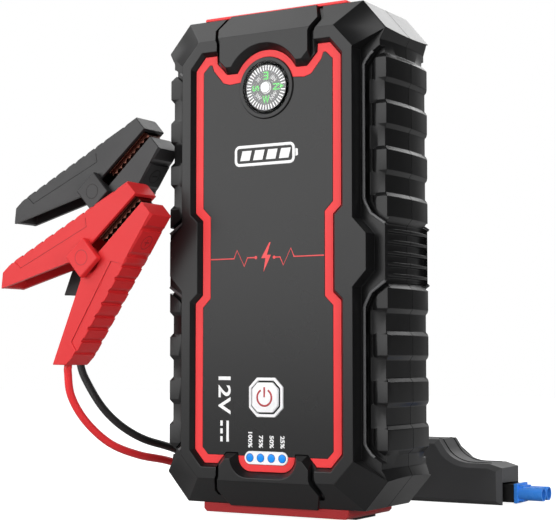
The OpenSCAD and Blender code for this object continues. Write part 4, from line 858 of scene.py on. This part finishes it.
def pale(name, look):  # it glows for the camera and through glass, and a little in gloss
    made = bpy.data.materials.new(name)
    made.use_nodes = True
    tree = made.node_tree
    shader = tree.nodes["Principled BSDF"]
    shader.inputs["Base Color"].default_value = (*look["colour"], 1)
    shader.inputs["Roughness"].default_value = look["rough"]
    shader.inputs["Specular IOR Level"].default_value = look["shine"]
    shader.inputs["Emission Color"].default_value = (1, 1, 1, 1)
    path = tree.nodes.new("ShaderNodeLightPath")
    total = path.outputs["Is Camera Ray"]
    for kind, share in (("Is Glossy Ray", look["inGloss"]), ("Is Transmission Ray", 1)):
        both = tree.nodes.new("ShaderNodeMath")
        both.operation = "MULTIPLY_ADD"
        both.inputs[1].default_value = share
        tree.links.new(path.outputs[kind], both.inputs[0])
        tree.links.new(total, both.inputs[2])
        total = both.outputs[0]
    lit = tree.nodes.new("ShaderNodeMath")
    lit.operation = "MULTIPLY"
    lit.inputs[1].default_value = look["glow"]
    tree.links.new(total, lit.inputs[0])
    tree.links.new(lit.outputs[0], shader.inputs["Emission Strength"])
    return made


bm = bmesh.new()
bmesh.ops.create_grid(bm, x_segments=1, y_segments=1, size=floorLook["half"])
floorMesh = fromBm("floor", bm)
floorMesh.materials.append(pale("floor", floorLook))
floor = bpy.data.objects.new("floor", floorMesh)
bpy.context.scene.collection.objects.link(floor)

# the room is white to the camera and through glass, pale at the back in gloss, and dim as a light
room = {"fill": 0.3, "white": 1.0, "inGloss": 0.62, "dark": 0.05, "paleSide": (-0.1, 0.95, 0.3),
        "from": 0.9, "to": 0.97}
world = bpy.data.worlds.new("studio")
bpy.context.scene.world = world
world.use_nodes = True
sky = world.node_tree
back = sky.nodes["Background"]
back.inputs["Color"].default_value = (1, 1, 1, 1)
ray = sky.nodes.new("ShaderNodeLightPath")
toward = sky.nodes.new("ShaderNodeTexCoord")
side = sky.nodes.new("ShaderNodeVectorMath")
side.operation = "DOT_PRODUCT"
side.inputs[1].default_value = room["paleSide"]
sky.links.new(toward.outputs["Generated"], side.inputs[0])


def ranged(source, fromMin, fromMax, toMin, toMax):  # the last two are numbers or outputs
    node = sky.nodes.new("ShaderNodeMapRange")
    node.inputs["From Min"].default_value = fromMin
    node.inputs["From Max"].default_value = fromMax
    for socket, value in (("To Min", toMin), ("To Max", toMax)):
        if isinstance(value, (int, float)):
            node.inputs[socket].default_value = value
        else:
            sky.links.new(value, node.inputs[socket])
    sky.links.new(source, node.inputs["Value"])
    return node.outputs["Result"]


seenBack = ranged(side.outputs["Value"], room["from"], room["to"], room["dark"], room["inGloss"])
forGloss = ranged(ray.outputs["Is Glossy Ray"], 0, 1, room["fill"], seenBack)
forGlass = ranged(ray.outputs["Is Transmission Ray"], 0, 1, forGloss, room["white"])
forCamera = ranged(ray.outputs["Is Camera Ray"], 0, 1, forGlass, room["white"])
sky.links.new(forCamera, back.inputs["Strength"])

softboxes = {  # in metres and watts; the side one doesn't show in gloss
    "key": {"at": (-0.64, -1.06, 0.62), "aim": (0, 0, 0.28), "size": (1.8, 1.2), "power": 19.8},
    "side": {"at": (1.08, -0.45, 0.12), "aim": (0, 0, 0.08), "size": (0.7, 0.7), "power": 10.5,
             "mirrored": False},
    "rim": {"at": (-0.06, 1.08, 0.79), "aim": (-0.05, -0.03, 0.12), "size": (1.0, 0.35),
            "power": 2.6},
    "top": {"at": (-0.8, -0.1, 1.2), "aim": (0, 0, 0.1), "size": (1.0, 1.0), "power": 6},
}
for name, look in softboxes.items():
    data = bpy.data.lights.new(name, "AREA")
    data.shape = "RECTANGLE"
    data.size, data.size_y = look["size"]
    data.energy = look["power"]
    softbox = bpy.data.objects.new(name, data)
    bpy.context.scene.collection.objects.link(softbox)
    softbox.location = look["at"]
    aimed = Vector(look["aim"]) - Vector(look["at"])
    softbox.rotation_euler = aimed.to_track_quat("-Z", "Y").to_euler()
    softbox.visible_glossy = look.get("mirrored", True)
bpy.context.scene.view_settings.view_transform = "Standard"
print("stage lit")
